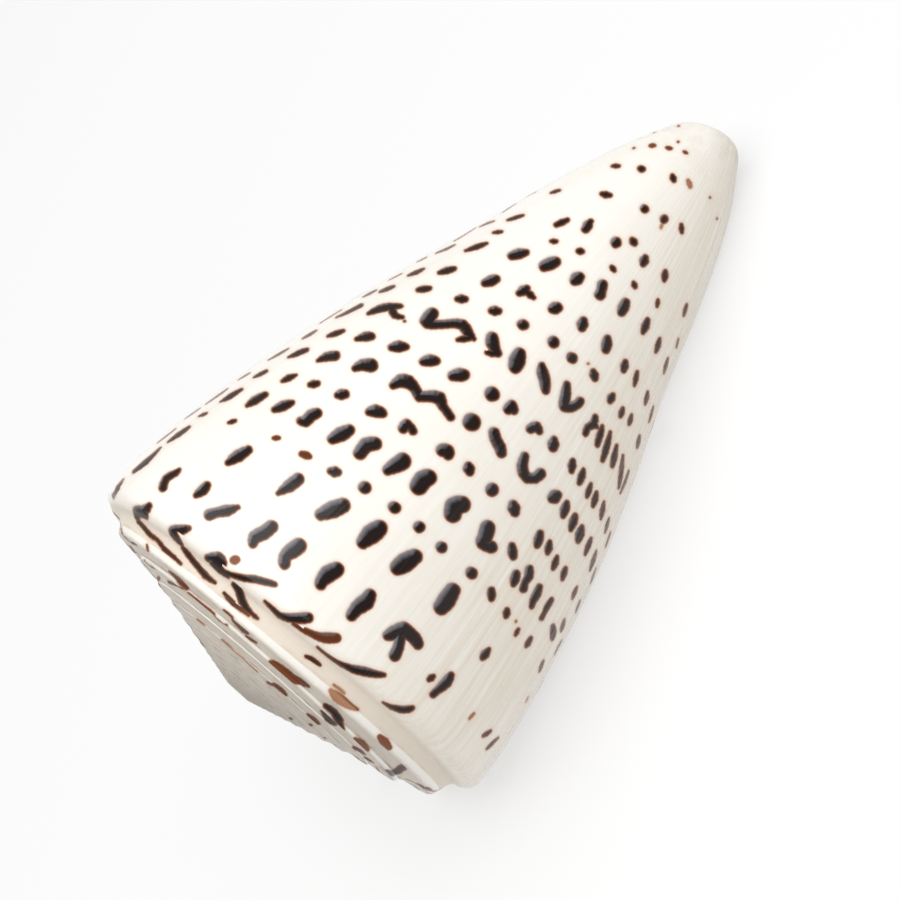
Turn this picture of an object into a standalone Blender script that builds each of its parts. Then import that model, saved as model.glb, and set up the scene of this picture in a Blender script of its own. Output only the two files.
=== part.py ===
# Cone shell: one coiled shell, lying on its aperture side.
# Metres, +Z up. The shell is built about its own coiling axis and then laid down at rest.

import math

import bmesh
import bpy
from mathutils import Matrix, Vector

# Driving sizes of the shell, measured along and around its coiling axis
body_length = 0.087            # from the shoulder plane to the siphonal tip
shoulder_radius = 0.0313       # at the outer lip
apex_height = -0.013           # the apex, behind the shoulder plane
apex_blunting = 0.0006         # how far the worn apex stays below its level
suture_rise = 0.0075           # apex level to the suture at the lip
lip_shoulder_height = -0.0017  # side of the shoulder near the lip
turned_back_height = -0.0055   # side of the shoulder one whorl before the lip

# How it grows with each whorl
body_growth = 1.12             # radius, over the body whorl
spire_growth = 1.22            # radius, over the older whorls
height_growth = 1.19           # distance from the shoulder plane

shoulder_settles = 230.0       # degrees over which the shoulder rises after it turns back
tip_growth_share = 0.35        # how much of the height growth still counts at the tip
tip_share_from = 0.6           # share of the length where that starts

# The straight-sided cone of the body whorl
cone_slope = 0.79
cone_bend = 1.4
tip_slope = 0.07
tip_bend = 9.6

# Lip, aperture and whorl steps
lip_draw = 0.06                # how far the lip is drawn in at mid height
lip_draw_at = 0.65             # share of the length
lip_draw_spread = 0.17
lip_reach = 75.0               # degrees back from the lip
lip_wall = 0.0013
deep_wall = 0.0026
cavity_reach = 150.0           # degrees that the aperture runs back inside
parietal_tuck = 0.05           # the old wall inside the aperture
parietal_from = 0.15           # share of the length where it is fully tucked
columella_tuck = 0.30
columella_from = 0.55          # share of the length where the pillar narrows
columella_reach = 0.4
hidden_turn = 180.0            # degrees over which the wall passes in under the lip
step_height = 0.0013           # an older whorl above the next ramp
rim_width = 0.0010
rim_inset = 0.3                # the point between side and rim, as shares of the rim
rim_drop = 0.75
ramp_hollow = 0.00025

# Mesh counts
segments = 60                  # to one whorl
spire_whorls = 8
levels = (0.0, 0.04, 0.09, 0.16, 0.25, 0.35, 0.46, 0.57, 0.67, 0.76, 0.84, 0.90, 0.945, 0.975, 1.0)
roof_level = 1                 # index in levels of the aperture's closed end

# The way it lies: on the lip and the body whorl, tip a little down
rest_roll = -36.4
rest_pitch = 15.1
worn_depth = 0.00035           # the resting spots are worn flat this deep

shell_colour = (0.90, 0.87, 0.80, 1.0)
shell_roughness = 0.25


def smooth(value):
    value = min(max(value, 0.0), 1.0)
    return value * value * (3.0 - 2.0 * value)


def mix(first, second, share):
    return first + (second - first) * share


def older(turn):
    """Size of an older whorl against the shoulder one whorl before the lip."""
    return spire_growth ** ((turn + 360.0) / 360.0)


def side_point(turn):
    """Radius and height of the side of the shoulder."""
    if turn <= -360.0:
        size = older(turn)
        return shoulder_radius / body_growth * size, apex_height + suture_rise * size
    radius = shoulder_radius * body_growth ** (turn / 360.0)
    height = mix(turned_back_height, lip_shoulder_height, smooth((turn + 360.0) / shoulder_settles))
    return radius, height


def ramp_points(turn):
    """The rounded rim, the hollow ramp and the suture, from the shoulder inwards."""
    radius, height = side_point(turn)
    size = older(turn)
    suture_radius = shoulder_radius / body_growth * size / spire_growth
    suture_height = apex_height + suture_rise * size / spire_growth
    rim = (radius - rim_width * size, height - step_height * size)
    edge = (radius - rim_inset * rim_width * size, height - rim_drop * step_height * size)
    middle = (mix(rim[0], suture_radius, 0.5), mix(rim[1], suture_height, 0.5) + ramp_hollow * size)
    return [edge, rim, middle, (suture_radius, suture_height)]


def wall_point(turn, level):
    """Radius and height on the outside of the body whorl; level runs from 0 to 1 at the tip."""
    side_height = side_point(turn)[1]
    start = side_height / body_length
    along = mix(start, 1.0, level)
    inside = max(along, 0.0)
    radius = shoulder_radius * (1.0 - cone_slope * inside ** cone_bend - tip_slope * inside ** tip_bend)
    if turn >= -360.0:
        radius *= body_growth ** (turn / 360.0)
    else:
        radius *= older(turn) / body_growth
    tuck = parietal_tuck + columella_tuck * smooth((along - columella_from) / columella_reach)
    radius *= 1.0 - tuck * smooth(along / parietal_from) * smooth((-turn - 180.0) / hidden_turn)
    draw = lip_draw * math.exp(-((along - lip_draw_at) / lip_draw_spread) ** 2)
    radius *= 1.0 - draw * smooth(1.0 + turn / lip_reach)
    grown = height_growth ** (turn / 360.0)
    share = smooth((along - tip_share_from) / (1.0 - tip_share_from))
    stretch = mix(grown, tip_growth_share * grown + 1.0 - tip_growth_share, share)
    if along < 0.0:
        stretch = 1.0
    return radius, body_length * along * stretch


def place(turn, point):
    angle = math.radians(turn)
    return Vector((point[0] * math.cos(angle), point[0] * math.sin(angle), point[1]))


class ShellMesh:
    """Corner points of the shell, each made once, and the faces between them."""

    def __init__(self):
        self.mesh = bmesh.new()
        self.made = {}

    def corner(self, key, place_at):
        if key not in self.made:
            self.made[key] = self.mesh.verts.new(place_at)
        return self.made[key]

    def outer(self, step, level):
        turn = (step - segments) * 360.0 / segments
        return self.corner(("outer", step, level), place(turn, wall_point(turn, levels[level])))

    def inner(self, step, level):
        turn = (step - segments) * 360.0 / segments
        radius, height = wall_point(turn, levels[level])
        radius -= mix(lip_wall, deep_wall, smooth(-turn / cavity_reach))
        return self.corner(("inner", step, level), place(turn, (radius, height)))

    def side(self, step):
        """Side of the shoulder: the top of the body wall, or the foot of an older whorl's step."""
        turn = (step - segments) * 360.0 / segments
        if step >= 0:
            return self.outer(step, 0)
        return self.corner(("side", step), place(turn, side_point(turn)))

    def ramp(self, step, index):
        turn = (step - segments) * 360.0 / segments
        if index == 3:
            return self.side(step - segments)
        return self.corner(("ramp", step, index), place(turn, ramp_points(turn)[index]))

    def face(self, *corners):
        self.mesh.faces.new(corners)


def add_outside(shell, first, cavity_steps):
    last = len(levels) - 1
    for step in range(first, segments):
        start = 0 if step >= 0 else roof_level
        for level in range(start, last):
            shell.face(shell.outer(step, level), shell.outer(step, level + 1),
                shell.outer(step + 1, level + 1), shell.outer(step + 1, level))
    for step in range(segments - cavity_steps, segments):
        for level in range(roof_level, last):
            shell.face(shell.inner(step, level), shell.inner(step + 1, level),
                shell.inner(step + 1, level + 1), shell.inner(step, level + 1))


def add_spire(shell):
    first = segments - spire_whorls * segments
    for step in range(first, segments):
        shell.face(shell.side(step), shell.side(step + 1), shell.ramp(step + 1, 0), shell.ramp(step, 0))
        for index in range(3):
            shell.face(shell.ramp(step, index), shell.ramp(step + 1, index),
                shell.ramp(step + 1, index + 1), shell.ramp(step, index + 1))
    # The first whorls end in a small step, and a low cap closes them over the apex.
    shell.face(shell.side(first), *[shell.ramp(first, index) for index in range(4)])
    apex = shell.corner("apex", Vector((0.0, 0.0, apex_height + apex_blunting)))
    ring = [shell.side(step) for step in range(first - segments, first + 1)]
    for near, far in zip(ring, ring[1:] + ring[:1]):
        shell.face(near, apex, far)


def add_aperture(shell, first, cavity_steps):
    last = len(levels) - 1
    deep = segments - cavity_steps
    # The flat edge of the lip
    for level in range(roof_level, last):
        shell.face(shell.outer(segments, level), shell.outer(segments, level + 1),
            shell.inner(segments, level + 1), shell.inner(segments, level))
    edge = [shell.outer(segments, level) for level in range(roof_level + 1)]
    old_wall = [shell.outer(0, level) for level in range(roof_level + 1)]
    ramp = [shell.ramp(segments, index) for index in (2, 1, 0)]
    shell.face(*(ramp + edge + [shell.inner(segments, roof_level)] + old_wall[::-1]))
    # The closed end and the deep end of the cavity
    for step in range(deep, segments):
        shell.face(shell.inner(step, roof_level), shell.outer(step - segments, roof_level),
            shell.outer(step + 1 - segments, roof_level), shell.inner(step + 1, roof_level))
    for level in range(roof_level, last):
        shell.face(shell.outer(first, level), shell.inner(deep, level),
            shell.inner(deep, level + 1), shell.outer(first, level + 1))
    # The siphonal end: the wall's edge, and the end of the pillar inside it
    for step in range(deep, segments):
        shell.face(shell.outer(step, last), shell.inner(step, last),
            shell.inner(step + 1, last), shell.outer(step + 1, last))
    ring = [shell.outer(step, last) for step in range(first, deep + 1)]
    ring.append(shell.inner(deep, last))
    middle = sum((corner.co for corner in ring), Vector()) / len(ring)
    centre = shell.corner("pillar", Vector((0.0, 0.0, middle.z)))
    for near, far in zip(ring, ring[1:] + ring[:1]):
        shell.face(near, centre, far)


def rest_matrix():
    rolled = Matrix.Rotation(math.radians(rest_roll), 4, "Z")
    laid = Matrix.Rotation(math.radians(90.0 + rest_pitch), 4, "Y")
    return laid @ rolled


def build_shell():
    cavity_steps = round(cavity_reach / 360.0 * segments)
    first = -cavity_steps
    shell = ShellMesh()
    add_outside(shell, first, cavity_steps)
    add_spire(shell)
    add_aperture(shell, first, cavity_steps)
    bmesh.ops.recalc_face_normals(shell.mesh, faces=shell.mesh.faces)
    bmesh.ops.triangulate(shell.mesh, faces=shell.mesh.faces)
    if shell.mesh.calc_volume(signed=True) < 0.0:
        bmesh.ops.reverse_faces(shell.mesh, faces=shell.mesh.faces)
    shell.mesh.transform(rest_matrix())
    lowest = min(corner.co.z for corner in shell.mesh.verts)
    xs = [corner.co.x for corner in shell.mesh.verts]
    ys = [corner.co.y for corner in shell.mesh.verts]
    centre = Vector((0.5 * (min(xs) + max(xs)), 0.5 * (min(ys) + max(ys)), lowest + worn_depth))
    shell.mesh.transform(Matrix.Translation(-centre))
    for corner in shell.mesh.verts:
        corner.co.z = max(corner.co.z, 0.0)
    mesh = bpy.data.meshes.new("shell")
    shell.mesh.to_mesh(mesh)
    shell.mesh.free()
    mesh.shade_smooth()
    mesh.set_sharp_from_angle(angle=math.radians(50.0))
    return mesh


def shell_material():
    material = bpy.data.materials.new("glossy_shell")
    material.use_nodes = True
    surface = material.node_tree.nodes["Principled BSDF"]
    surface.inputs["Base Color"].default_value = shell_colour
    surface.inputs["Roughness"].default_value = shell_roughness
    surface.inputs["Metallic"].default_value = 0.0
    return material


def main():
    for item in list(bpy.data.objects):
        bpy.data.objects.remove(item)
    shell = bpy.data.objects.new("shell", build_shell())
    shell.data.materials.append(shell_material())
    bpy.context.scene.collection.objects.link(shell)


main()
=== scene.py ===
# Looks of the cone shell: its surface, markings, table, light and camera.
# Metres, +Z up. The shell lies at rest as its frame does, its tip towards +X.

import math
import random

import bmesh
import bpy
import numpy as np
from mathutils import Matrix, Vector
from mathutils.bvhtree import BVHTree
from mathutils.geometry import barycentric_transform


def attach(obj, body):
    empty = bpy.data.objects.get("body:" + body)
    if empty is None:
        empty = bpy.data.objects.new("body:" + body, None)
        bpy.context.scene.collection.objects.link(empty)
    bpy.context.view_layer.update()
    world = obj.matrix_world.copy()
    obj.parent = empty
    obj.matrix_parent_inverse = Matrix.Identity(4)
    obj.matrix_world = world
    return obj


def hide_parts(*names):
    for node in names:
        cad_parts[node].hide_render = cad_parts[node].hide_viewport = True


class Field:
    # One output socket, so that sums on sockets read as plain sums

    def __init__(self, nodes, socket):
        self.nodes = nodes
        self.socket = socket


def fieldSum(operation, swapped):
    def apply(field, other):
        parts = (other, field) if swapped else (field, other)
        return field.nodes.math(operation, *parts)
    return apply


fieldSums = {
    "add": "ADD",
    "sub": "SUBTRACT",
    "mul": "MULTIPLY",
    "truediv": "DIVIDE",
    "pow": "POWER",
    "lt": "LESS_THAN",
    "gt": "GREATER_THAN",
}
for sign, operation in fieldSums.items():
    setattr(Field, "__" + sign + "__", fieldSum(operation, False))
for sign in ("add", "sub", "mul"):
    setattr(Field, "__r" + sign + "__", fieldSum(fieldSums[sign], True))


class Nodes:
    # Makes the nodes of one tree

    def __init__(self, tree):
        self.tree = tree

    def add(self, kind, settings, values):
        node = self.tree.nodes.new(kind)
        for name, value in settings.items():
            setattr(node, name, value)
        for name, value in values.items():
            self.feed(node.inputs[name], value)
        return node

    def feed(self, socket, value):
        if isinstance(value, Field):
            self.tree.links.new(value.socket, socket)
        else:
            socket.default_value = value

    def out(self, node, name=0):
        return Field(self, node.outputs[name])

    def make(self, kind, settings, values, name=0):
        return self.out(self.add(kind, settings, values), name)

    def math(self, operation, *parts):
        return self.make("ShaderNodeMath", {"operation": operation}, dict(enumerate(parts)))

    def vector(self, operation, *parts, name=0):
        return self.make("ShaderNodeVectorMath", {"operation": operation}, dict(enumerate(parts)), name)

    def measure(self, operation, *parts):
        # The number that a vector node gives, such as a length
        return self.vector(operation, *parts, name="Value")

    def place(self, x, y, z):
        return self.make("ShaderNodeCombineXYZ", {}, {0: x, 1: y, 2: z})

    def noise(self, vector, scale, detail, roughness=0.5):
        return self.make("ShaderNodeTexNoise", {"noise_dimensions": "3D"},
            {"Vector": vector, "Scale": scale, "Detail": detail, "Roughness": roughness})

    def clamp(self, value):
        return self.make("ShaderNodeClamp", {}, {0: value})

    def smooth(self, value):
        kept = self.clamp(value)
        return kept * kept * (3.0 - 2.0 * kept)

    def rise(self, value, ends):
        # 0 at the first end, 1 at the second, smooth between them
        return self.smooth((value - ends[0]) / (ends[1] - ends[0]))

    def slope(self, value, ends):
        # 0 at the first end, 1 at the second, even between them
        return self.clamp((value - ends[0]) / (ends[1] - ends[0]))

    def mix(self, first, second, share):
        return first + (second - first) * share

    def blend(self, first, second, share):
        # Mixes two colours
        values = {0: share, 6: first, 7: second}
        return self.make("ShaderNodeMix", {"data_type": "RGBA"}, values, 2)


quarterTurn = 0.5 * math.pi
oneDegree = math.pi / 180.0

# Metres, and degrees where the name says Turn. Names with From, Start, Reach, Centre or Spread are
# shares of the ramp, from suture to shoulder, or of the wall, from shoulder to tip.
shellSizes = {
    "Body Length": 0.087,
    "Shoulder Radius": 0.0313,
    "Apex Height": -0.013,
    "Suture Rise": 0.0075,
    "Lip Shoulder Height": -0.0017,
    "Turned Back Height": -0.0055,
    "Shoulder Settling Turn": 330.0,
    "Body Growth": 1.12,
    "Spire Growth": 1.22,
    "Height Growth": 1.19,
    "Tip Growth Share": 0.35,
    "Tip Growth Rest": 0.65,
    "Tip Growth From": 0.6,
    "Tip Growth Reach": 0.4,
    "Spire Lean": 0.0012,
    "Spire Lean Turn": -20.0,
    "Lean Settling Turn": 180.0,
    "Cone Slope": 0.79,
    "Cone Bend": 1.4,
    "Tip Slope": 0.07,
    "Tip Bend": 9.6,
    "Tip Drop": 0.0012,
    "Tip Drop Start": 0.90,
    "Tip Drop Turn": -90.0,
    "Lip Draw": 0.06,
    "Lip Draw Turn": 75.0,
    "Lip Draw Centre": 0.65,
    "Lip Draw Spread": 0.17,
    "Lip Wall": 0.0013,
    "Deep Wall": 0.0026,
    "Cavity Turn": 150.0,
    "Cavity Closing Turn": 40.0,
    "Parietal Tuck": 0.05,
    "Parietal Reach": 0.15,
    "Columella Tuck": 0.30,
    "Columella From": 0.55,
    "Columella Reach": 0.4,
    "Tuck Turn": 180.0,
    "Step Height": 0.0013,
    "Step Fading": 3.0,
    "Last Step Share": 0.25,
    "Rim Width": 0.0010,
    "Rim From": 0.7,
    "Last Rim Share": 0.9,
    "Last Rim Turn": 60.0,
    "Ramp Hollow": 0.00035,
    "Suture Reach": 0.5,
    "Inward Bend Reach": 0.36,
    "Rim Turn": 1.3,
    "Wobble": 0.00022,
    "Wobble Scale": 90.0,
    "Whorls": 14,
    "Whorl Columns": 330,
    "Cavity Columns": 44,
    "Edge Columns": 5,
    "Ramp Rows": 8,
    "Wall Rows": 128,
}

meshRule = {
    "merge within": 0.000002,   # metres
    "shortest edge": 0.0000005,
    "closing rings": 4,
}

shellRest = {
    "roll": -36.4,              # degrees, about the coiling axis
    "pitch": 15.1,              # and about Y, past lying level
    "offset": (-0.034977, 0.000848, 0.027736),
}


class ShellShape:
    # The spiral shell as sums on fields: radius and height from turn and place across the wall

    def __init__(self, nodes, size):
        self.nodes = nodes
        self.size = size

    def older(self, turn):
        return self.size["Spire Growth"] ** ((turn + 360.0) / 360.0)

    def sidePoint(self, turn):
        size = self.size
        grown = self.older(turn)
        isOld = turn < -360.0
        bodyRadius = size["Shoulder Radius"] * size["Body Growth"] ** (turn / 360.0)
        oldRadius = size["Shoulder Radius"] / size["Body Growth"] * grown
        settled = self.nodes.smooth((turn + 360.0) / size["Shoulder Settling Turn"])
        bodyHeight = self.nodes.mix(size["Turned Back Height"], size["Lip Shoulder Height"], settled)
        leaning = 0.5 + 0.5 * self.nodes.math("COSINE", (turn - size["Spire Lean Turn"]) * oneDegree)
        settling = self.nodes.smooth((-360.0 - turn) / size["Lean Settling Turn"])
        lean = size["Spire Lean"] * grown * leaning * settling
        oldHeight = size["Apex Height"] + size["Suture Rise"] * grown - lean
        radius = self.nodes.mix(bodyRadius, oldRadius, isOld)
        height = self.nodes.mix(bodyHeight, oldHeight, isOld)
        return radius, height

    def rampPoint(self, turn, across, side, suture):
        # From the suture, over the hollow ramp, round the rim to the side of the shoulder
        nodes = self.nodes
        size = self.size
        grown = self.older(turn)
        faded = grown * nodes.math("MINIMUM", grown, 1.0) ** size["Step Fading"]
        rounder = nodes.smooth((turn + 360.0) / size["Last Rim Turn"])
        width = size["Rim Width"] * faded * (1.0 + rounder * size["Last Rim Share"])
        step = size["Step Height"] * faded * (1.0 + rounder * size["Last Step Share"])
        out = nodes.clamp(across / size["Rim From"])
        bend = nodes.slope(across, (size["Rim From"], 1.0)) * quarterTurn
        hollow = size["Ramp Hollow"] * grown * nodes.math("SINE", out * math.pi)
        radius = nodes.mix(suture[0], side[0] - width, out) + width * nodes.math("SINE", bend)
        top = nodes.mix(suture[1], side[1] - step, out)
        height = top + hollow + step * (1.0 - nodes.math("COSINE", bend))
        return radius, height

    def wallPoint(self, turn, level, side):
        nodes = self.nodes
        size = self.size
        start = side[1] / size["Body Length"]
        along = nodes.mix(start, 1.0, level)
        inside = nodes.math("MAXIMUM", along, 0.0)
        cone = 1.0 - size["Cone Slope"] * inside ** size["Cone Bend"]
        cone = cone - size["Tip Slope"] * inside ** size["Tip Bend"]
        isOld = turn < -360.0
        bodyGrown = size["Body Growth"] ** (turn / 360.0)
        grown = nodes.mix(bodyGrown, self.older(turn) / size["Body Growth"], isOld)
        pillar = nodes.smooth((along - size["Columella From"]) / size["Columella Reach"])
        tuck = size["Parietal Tuck"] + size["Columella Tuck"] * pillar
        tucked = nodes.smooth((-180.0 - turn) / size["Tuck Turn"])
        hidden = nodes.smooth(along / size["Parietal Reach"]) * tucked
        offset = (along - size["Lip Draw Centre"]) / size["Lip Draw Spread"]
        draw = size["Lip Draw"] * nodes.math("EXPONENT", offset * offset * -1.0)
        drawn = nodes.smooth(1.0 + turn / size["Lip Draw Turn"])
        radius = size["Shoulder Radius"] * cone * grown * (1.0 - tuck * hidden) * (1.0 - draw * drawn)
        stretched = size["Height Growth"] ** (turn / 360.0)
        share = nodes.smooth((along - size["Tip Growth From"]) / size["Tip Growth Reach"])
        slower = stretched * size["Tip Growth Share"] + size["Tip Growth Rest"]
        stretch = nodes.mix(stretched, slower, share)
        stretch = nodes.mix(stretch, 1.0, along < 0.0)
        height = size["Body Length"] * along * stretch
        dropped = nodes.rise(level, (size["Tip Drop Start"], 1.0))
        away = 0.5 - 0.5 * nodes.math("COSINE", (turn - size["Tip Drop Turn"]) * oneDegree)
        return radius, height - size["Tip Drop"] * dropped * away

    def wallThickness(self, turn):
        size = self.size
        share = self.nodes.smooth(turn / size["Cavity Turn"] * -1.0)
        return self.nodes.mix(size["Lip Wall"], size["Deep Wall"], share)

    def edgeShare(self, turn, level):
        # 1 inside the shell, falling as a half circle to 0 at the lip's edge and at the tip's edge
        nodes = self.nodes
        lip = nodes.clamp((turn + self.size["Rim Turn"]) / self.size["Rim Turn"])
        tipStart = 1.0 - 0.5 * self.size["Deep Wall"] / self.size["Body Length"]
        tip = nodes.slope(level, (tipStart, 1.0))
        lipShare = nodes.math("SQRT", nodes.clamp(1.0 - lip * lip))
        return lipShare * nodes.math("SQRT", nodes.clamp(1.0 - tip * tip))


def edgeSteps(nodes, index, steps, edge, span, rim):
    # Even steps over the span, then closer ones over its last bit, round the edge
    even = index / steps * (span - rim)
    bend = nodes.clamp((index - steps) / edge) * quarterTurn
    return nodes.mix(even, (span - rim) + rim * nodes.math("SINE", bend), index > steps)


def addSheet(nodes, columns, rows, kind, turnOf, acrossOf):
    # A grid whose face corners know their turn, their place across the wall and their kind of sheet:
    # 0 outside, 1 inside the cavity, 2 the older whorl's wall seen in it
    grid = nodes.make("GeometryNodeMeshGrid", {},
        {"Size X": 1.0, "Size Y": 1.0, "Vertices X": columns, "Vertices Y": rows})
    place = nodes.add("ShaderNodeSeparateXYZ", {}, {0: nodes.make("GeometryNodeInputPosition", {}, {})})
    column = nodes.math("ROUND", (nodes.out(place, 0) + 0.5) * (columns - 1.0))
    row = nodes.math("ROUND", (nodes.out(place, 1) + 0.5) * (rows - 1.0))
    geometry = grid
    for name, value in (("turn", turnOf(column)), ("across", acrossOf(row)), ("sheet", float(kind))):
        geometry = nodes.make("GeometryNodeStoreNamedAttribute", {"data_type": "FLOAT", "domain": "CORNER"},
            {"Geometry": geometry, "Name": name, "Value": value})
    return geometry


def addSheets(nodes, size):
    # The ramps of the whole spire, the last whorl's wall, its inside in the cavity and the older wall there
    edge = size["Edge Columns"]
    rim = size["Rim Turn"]
    rampRows = size["Ramp Rows"]
    wallRows = size["Wall Rows"]
    whorl = size["Whorl Columns"] + edge

    def spireTurn(column):
        count = nodes.math("FLOOR", column / whorl)
        steps = edgeSteps(nodes, column - count * whorl, size["Whorl Columns"], edge, 360.0, rim)
        return steps + 360.0 * (count - size["Whorls"])

    def bodyTurn(column):
        return edgeSteps(nodes, column, size["Whorl Columns"], edge, 360.0, rim) - 360.0

    def cavityTurn(column):
        span = size["Cavity Turn"]
        return edgeSteps(nodes, column, size["Cavity Columns"], edge, span, rim) - span

    def wallLevel(row):
        tip = 0.5 * size["Deep Wall"] / size["Body Length"]
        return edgeSteps(nodes, row, wallRows - edge, edge, 1.0, tip)

    def rampAcross(row):
        return row / rampRows

    def wallAcross(row):
        return 1.0 + wallLevel(row)

    def innerAcross(row):
        past = nodes.math("MAXIMUM", row - rampRows, 0.0)
        return nodes.math("MINIMUM", row / rampRows, 1.0) + wallLevel(past)

    cavityColumns = size["Cavity Columns"] + edge + 1.0
    sheets = [
        addSheet(nodes, whorl * size["Whorls"] + 1.0, rampRows + 1.0, 0, spireTurn, rampAcross),
        addSheet(nodes, whorl + 1.0, wallRows + 1.0, 0, bodyTurn, wallAcross),
        addSheet(nodes, cavityColumns, rampRows + wallRows + 1.0, 1, cavityTurn, innerAcross),
        addSheet(nodes, cavityColumns, wallRows + 1.0, 2, cavityTurn, wallAcross),
    ]
    joined = nodes.add("GeometryNodeJoinGeometry", {}, {})
    for sheet in sheets:
        nodes.feed(joined.inputs[0], sheet)
    return nodes.out(joined)


def sheetPlace(nodes, size, turn, across, sheet):
    # Radius and height of a place on a sheet
    shape = ShellShape(nodes, size)
    level = nodes.clamp(across - 1.0)
    share = shape.edgeShare(turn, level)
    thickness = shape.wallThickness(turn)
    pastSuture = nodes.smooth(across / size["Suture Reach"])
    nearSuture = 1.0 - pastSuture
    middle = 0.5 * pastSuture
    side = shape.sidePoint(turn)
    oldTurn = turn - 360.0
    oldSide = shape.sidePoint(oldTurn)
    ramp = shape.rampPoint(turn, across, side, oldSide)
    wall = shape.wallPoint(turn, level, side)
    onWall = across > 1.0
    radius = nodes.mix(ramp[0], wall[0], onWall)
    height = nodes.mix(ramp[1], wall[1], onWall)
    bend = nodes.smooth((across - size["Rim From"]) / size["Inward Bend Reach"]) * quarterTurn
    inwardRadius = nodes.math("SINE", bend) * -1.0
    inwardHeight = nodes.math("COSINE", bend)

    # The older wall inside the aperture, one whorl back
    topLevel = thickness * share / size["Body Length"]
    oldLevel = nodes.mix(topLevel, 1.0, level)
    old = shape.wallPoint(oldTurn, oldLevel, oldSide)
    oldShare = shape.edgeShare(oldTurn, oldLevel)
    oldRadius = old[0] - 0.5 * size["Deep Wall"] * (1.0 - oldShare)

    # The outside, drawn in round the lip's and the tip's edges, and the inside of the same wall
    outerShift = thickness * middle * (1.0 - share)
    innerShift = thickness * (middle + (1.0 - middle) * share)
    innerRadius = radius + inwardRadius * innerShift + nearSuture * (oldRadius - oldSide[0])
    innerHeight = height + inwardHeight * innerShift + nearSuture * (old[1] - oldSide[1] - innerShift)
    closing = nodes.smooth((turn * -1.0 - size["Cavity Turn"]) / size["Cavity Closing Turn"] + 1.0)
    innerRadius = nodes.mix(innerRadius, oldRadius, closing)
    innerHeight = nodes.mix(innerHeight, old[1], closing)
    isInner = sheet > 0.5
    isOldSheet = sheet > 1.5
    radius = nodes.mix(radius + inwardRadius * outerShift, innerRadius, isInner)
    height = nodes.mix(height + inwardHeight * outerShift, innerHeight, isInner)
    radius = nodes.mix(radius, oldRadius, isOldSheet)
    height = nodes.mix(height, old[1], isOldSheet)
    return radius, height


def shellTree(sizes):
    tree = bpy.data.node_groups.new("spiral shell", "GeometryNodeTree")
    tree.is_modifier = True
    identifiers = {}
    for name, value in sizes.items():
        kind = "NodeSocketInt" if isinstance(value, int) else "NodeSocketFloat"
        identifiers[name] = tree.interface.new_socket(name, in_out="INPUT", socket_type=kind).identifier
    socket = tree.interface.new_socket("Material", in_out="INPUT", socket_type="NodeSocketMaterial")
    identifiers["Material"] = socket.identifier
    tree.interface.new_socket("Geometry", in_out="OUTPUT", socket_type="NodeSocketGeometry")
    nodes = Nodes(tree)
    entry = nodes.add("NodeGroupInput", {}, {})
    size = {name: nodes.out(entry, name) for name in sizes}
    sheets = addSheets(nodes, size)
    turn, across, sheet = [
        nodes.make("GeometryNodeInputNamedAttribute", {"data_type": "FLOAT"}, {"Name": name})
        for name in ("turn", "across", "sheet")]
    radius, height = sheetPlace(nodes, size, turn, across, sheet)
    angle = turn * oneDegree
    east = nodes.math("COSINE", angle)
    north = nodes.math("SINE", angle)
    even = nodes.place(radius * east, radius * north, height)
    swell = (nodes.noise(even, size["Wobble Scale"], 3.0) - 0.5) * size["Wobble"]
    place = nodes.place((radius + swell) * east, (radius + swell) * north, height + swell)
    shaped = nodes.make("GeometryNodeSetPosition", {}, {"Geometry": sheets, "Position": place})
    merged = nodes.make("GeometryNodeMergeByDistance", {},
        {"Geometry": shaped, "Distance": meshRule["merge within"]})
    smoothed = nodes.make("GeometryNodeSetShadeSmooth", {}, {"Geometry": merged, "Shade Smooth": True})
    realized = nodes.make("GeometryNodeRealizeInstances", {}, {"Geometry": smoothed})
    finished = nodes.make("GeometryNodeSetMaterial", {},
        {"Geometry": realized, "Material": nodes.out(entry, "Material")})
    nodes.add("NodeGroupOutput", {}, {"Geometry": finished})
    return tree, identifiers


def openLoops(work):
    # The rings of open edges, each as its corners in order; a dictionary keeps the order of the mesh
    openEdges = {edge: True for edge in work.edges if edge.is_boundary}
    loops = []
    while openEdges:
        edge = next(iter(openEdges))
        del openEdges[edge]
        loop = [edge.verts[0], edge.verts[1]]
        while True:
            following = [item for item in loop[-1].link_edges if item in openEdges]
            if not following:
                break
            del openEdges[following[0]]
            nextCorner = following[0].other_vert(loop[-1])
            if nextCorner is loop[0]:
                break
            loop.append(nextCorner)
        loops.append(loop)
    return loops


def closeLoops(mesh):
    # Closes the apex and the end of the pillar with discs of narrowing rings
    rings = meshRule["closing rings"]
    work = bmesh.new()
    work.from_mesh(mesh)
    bmesh.ops.dissolve_degenerate(work, dist=meshRule["shortest edge"], edges=work.edges)
    layers = [work.loops.layers.float[name] for name in ("turn", "across", "sheet")]
    for loop in openLoops(work):
        if len(loop) < 3:
            continue
        known = loop[0].link_loops[0]
        values = [known[layer] for layer in layers]
        middle = sum((corner.co for corner in loop), Vector()) / len(loop)
        last = loop
        made = []
        for ring in range(1, rings):
            inner = [work.verts.new(corner.co.lerp(middle, ring / rings)) for corner in loop]
            for index in range(len(loop)):
                following = (index + 1) % len(loop)
                made.append(work.faces.new((last[index], last[following], inner[following], inner[index])))
            last = inner
        centre = work.verts.new(middle)
        for index in range(len(loop)):
            made.append(work.faces.new((last[index], last[(index + 1) % len(loop)], centre)))
        for face in made:
            for corner in face.loops:
                for layer, value in zip(layers, values):
                    corner[layer] = value
    bmesh.ops.recalc_face_normals(work, faces=work.faces)
    if work.calc_volume(signed=True) < 0.0:
        bmesh.ops.reverse_faces(work, faces=work.faces)
    for face in work.faces:
        face.smooth = True
        face.material_index = 0
    print("open edges left", sum(1 for edge in work.edges if not edge.is_manifold))
    work.to_mesh(mesh)
    work.free()


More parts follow.
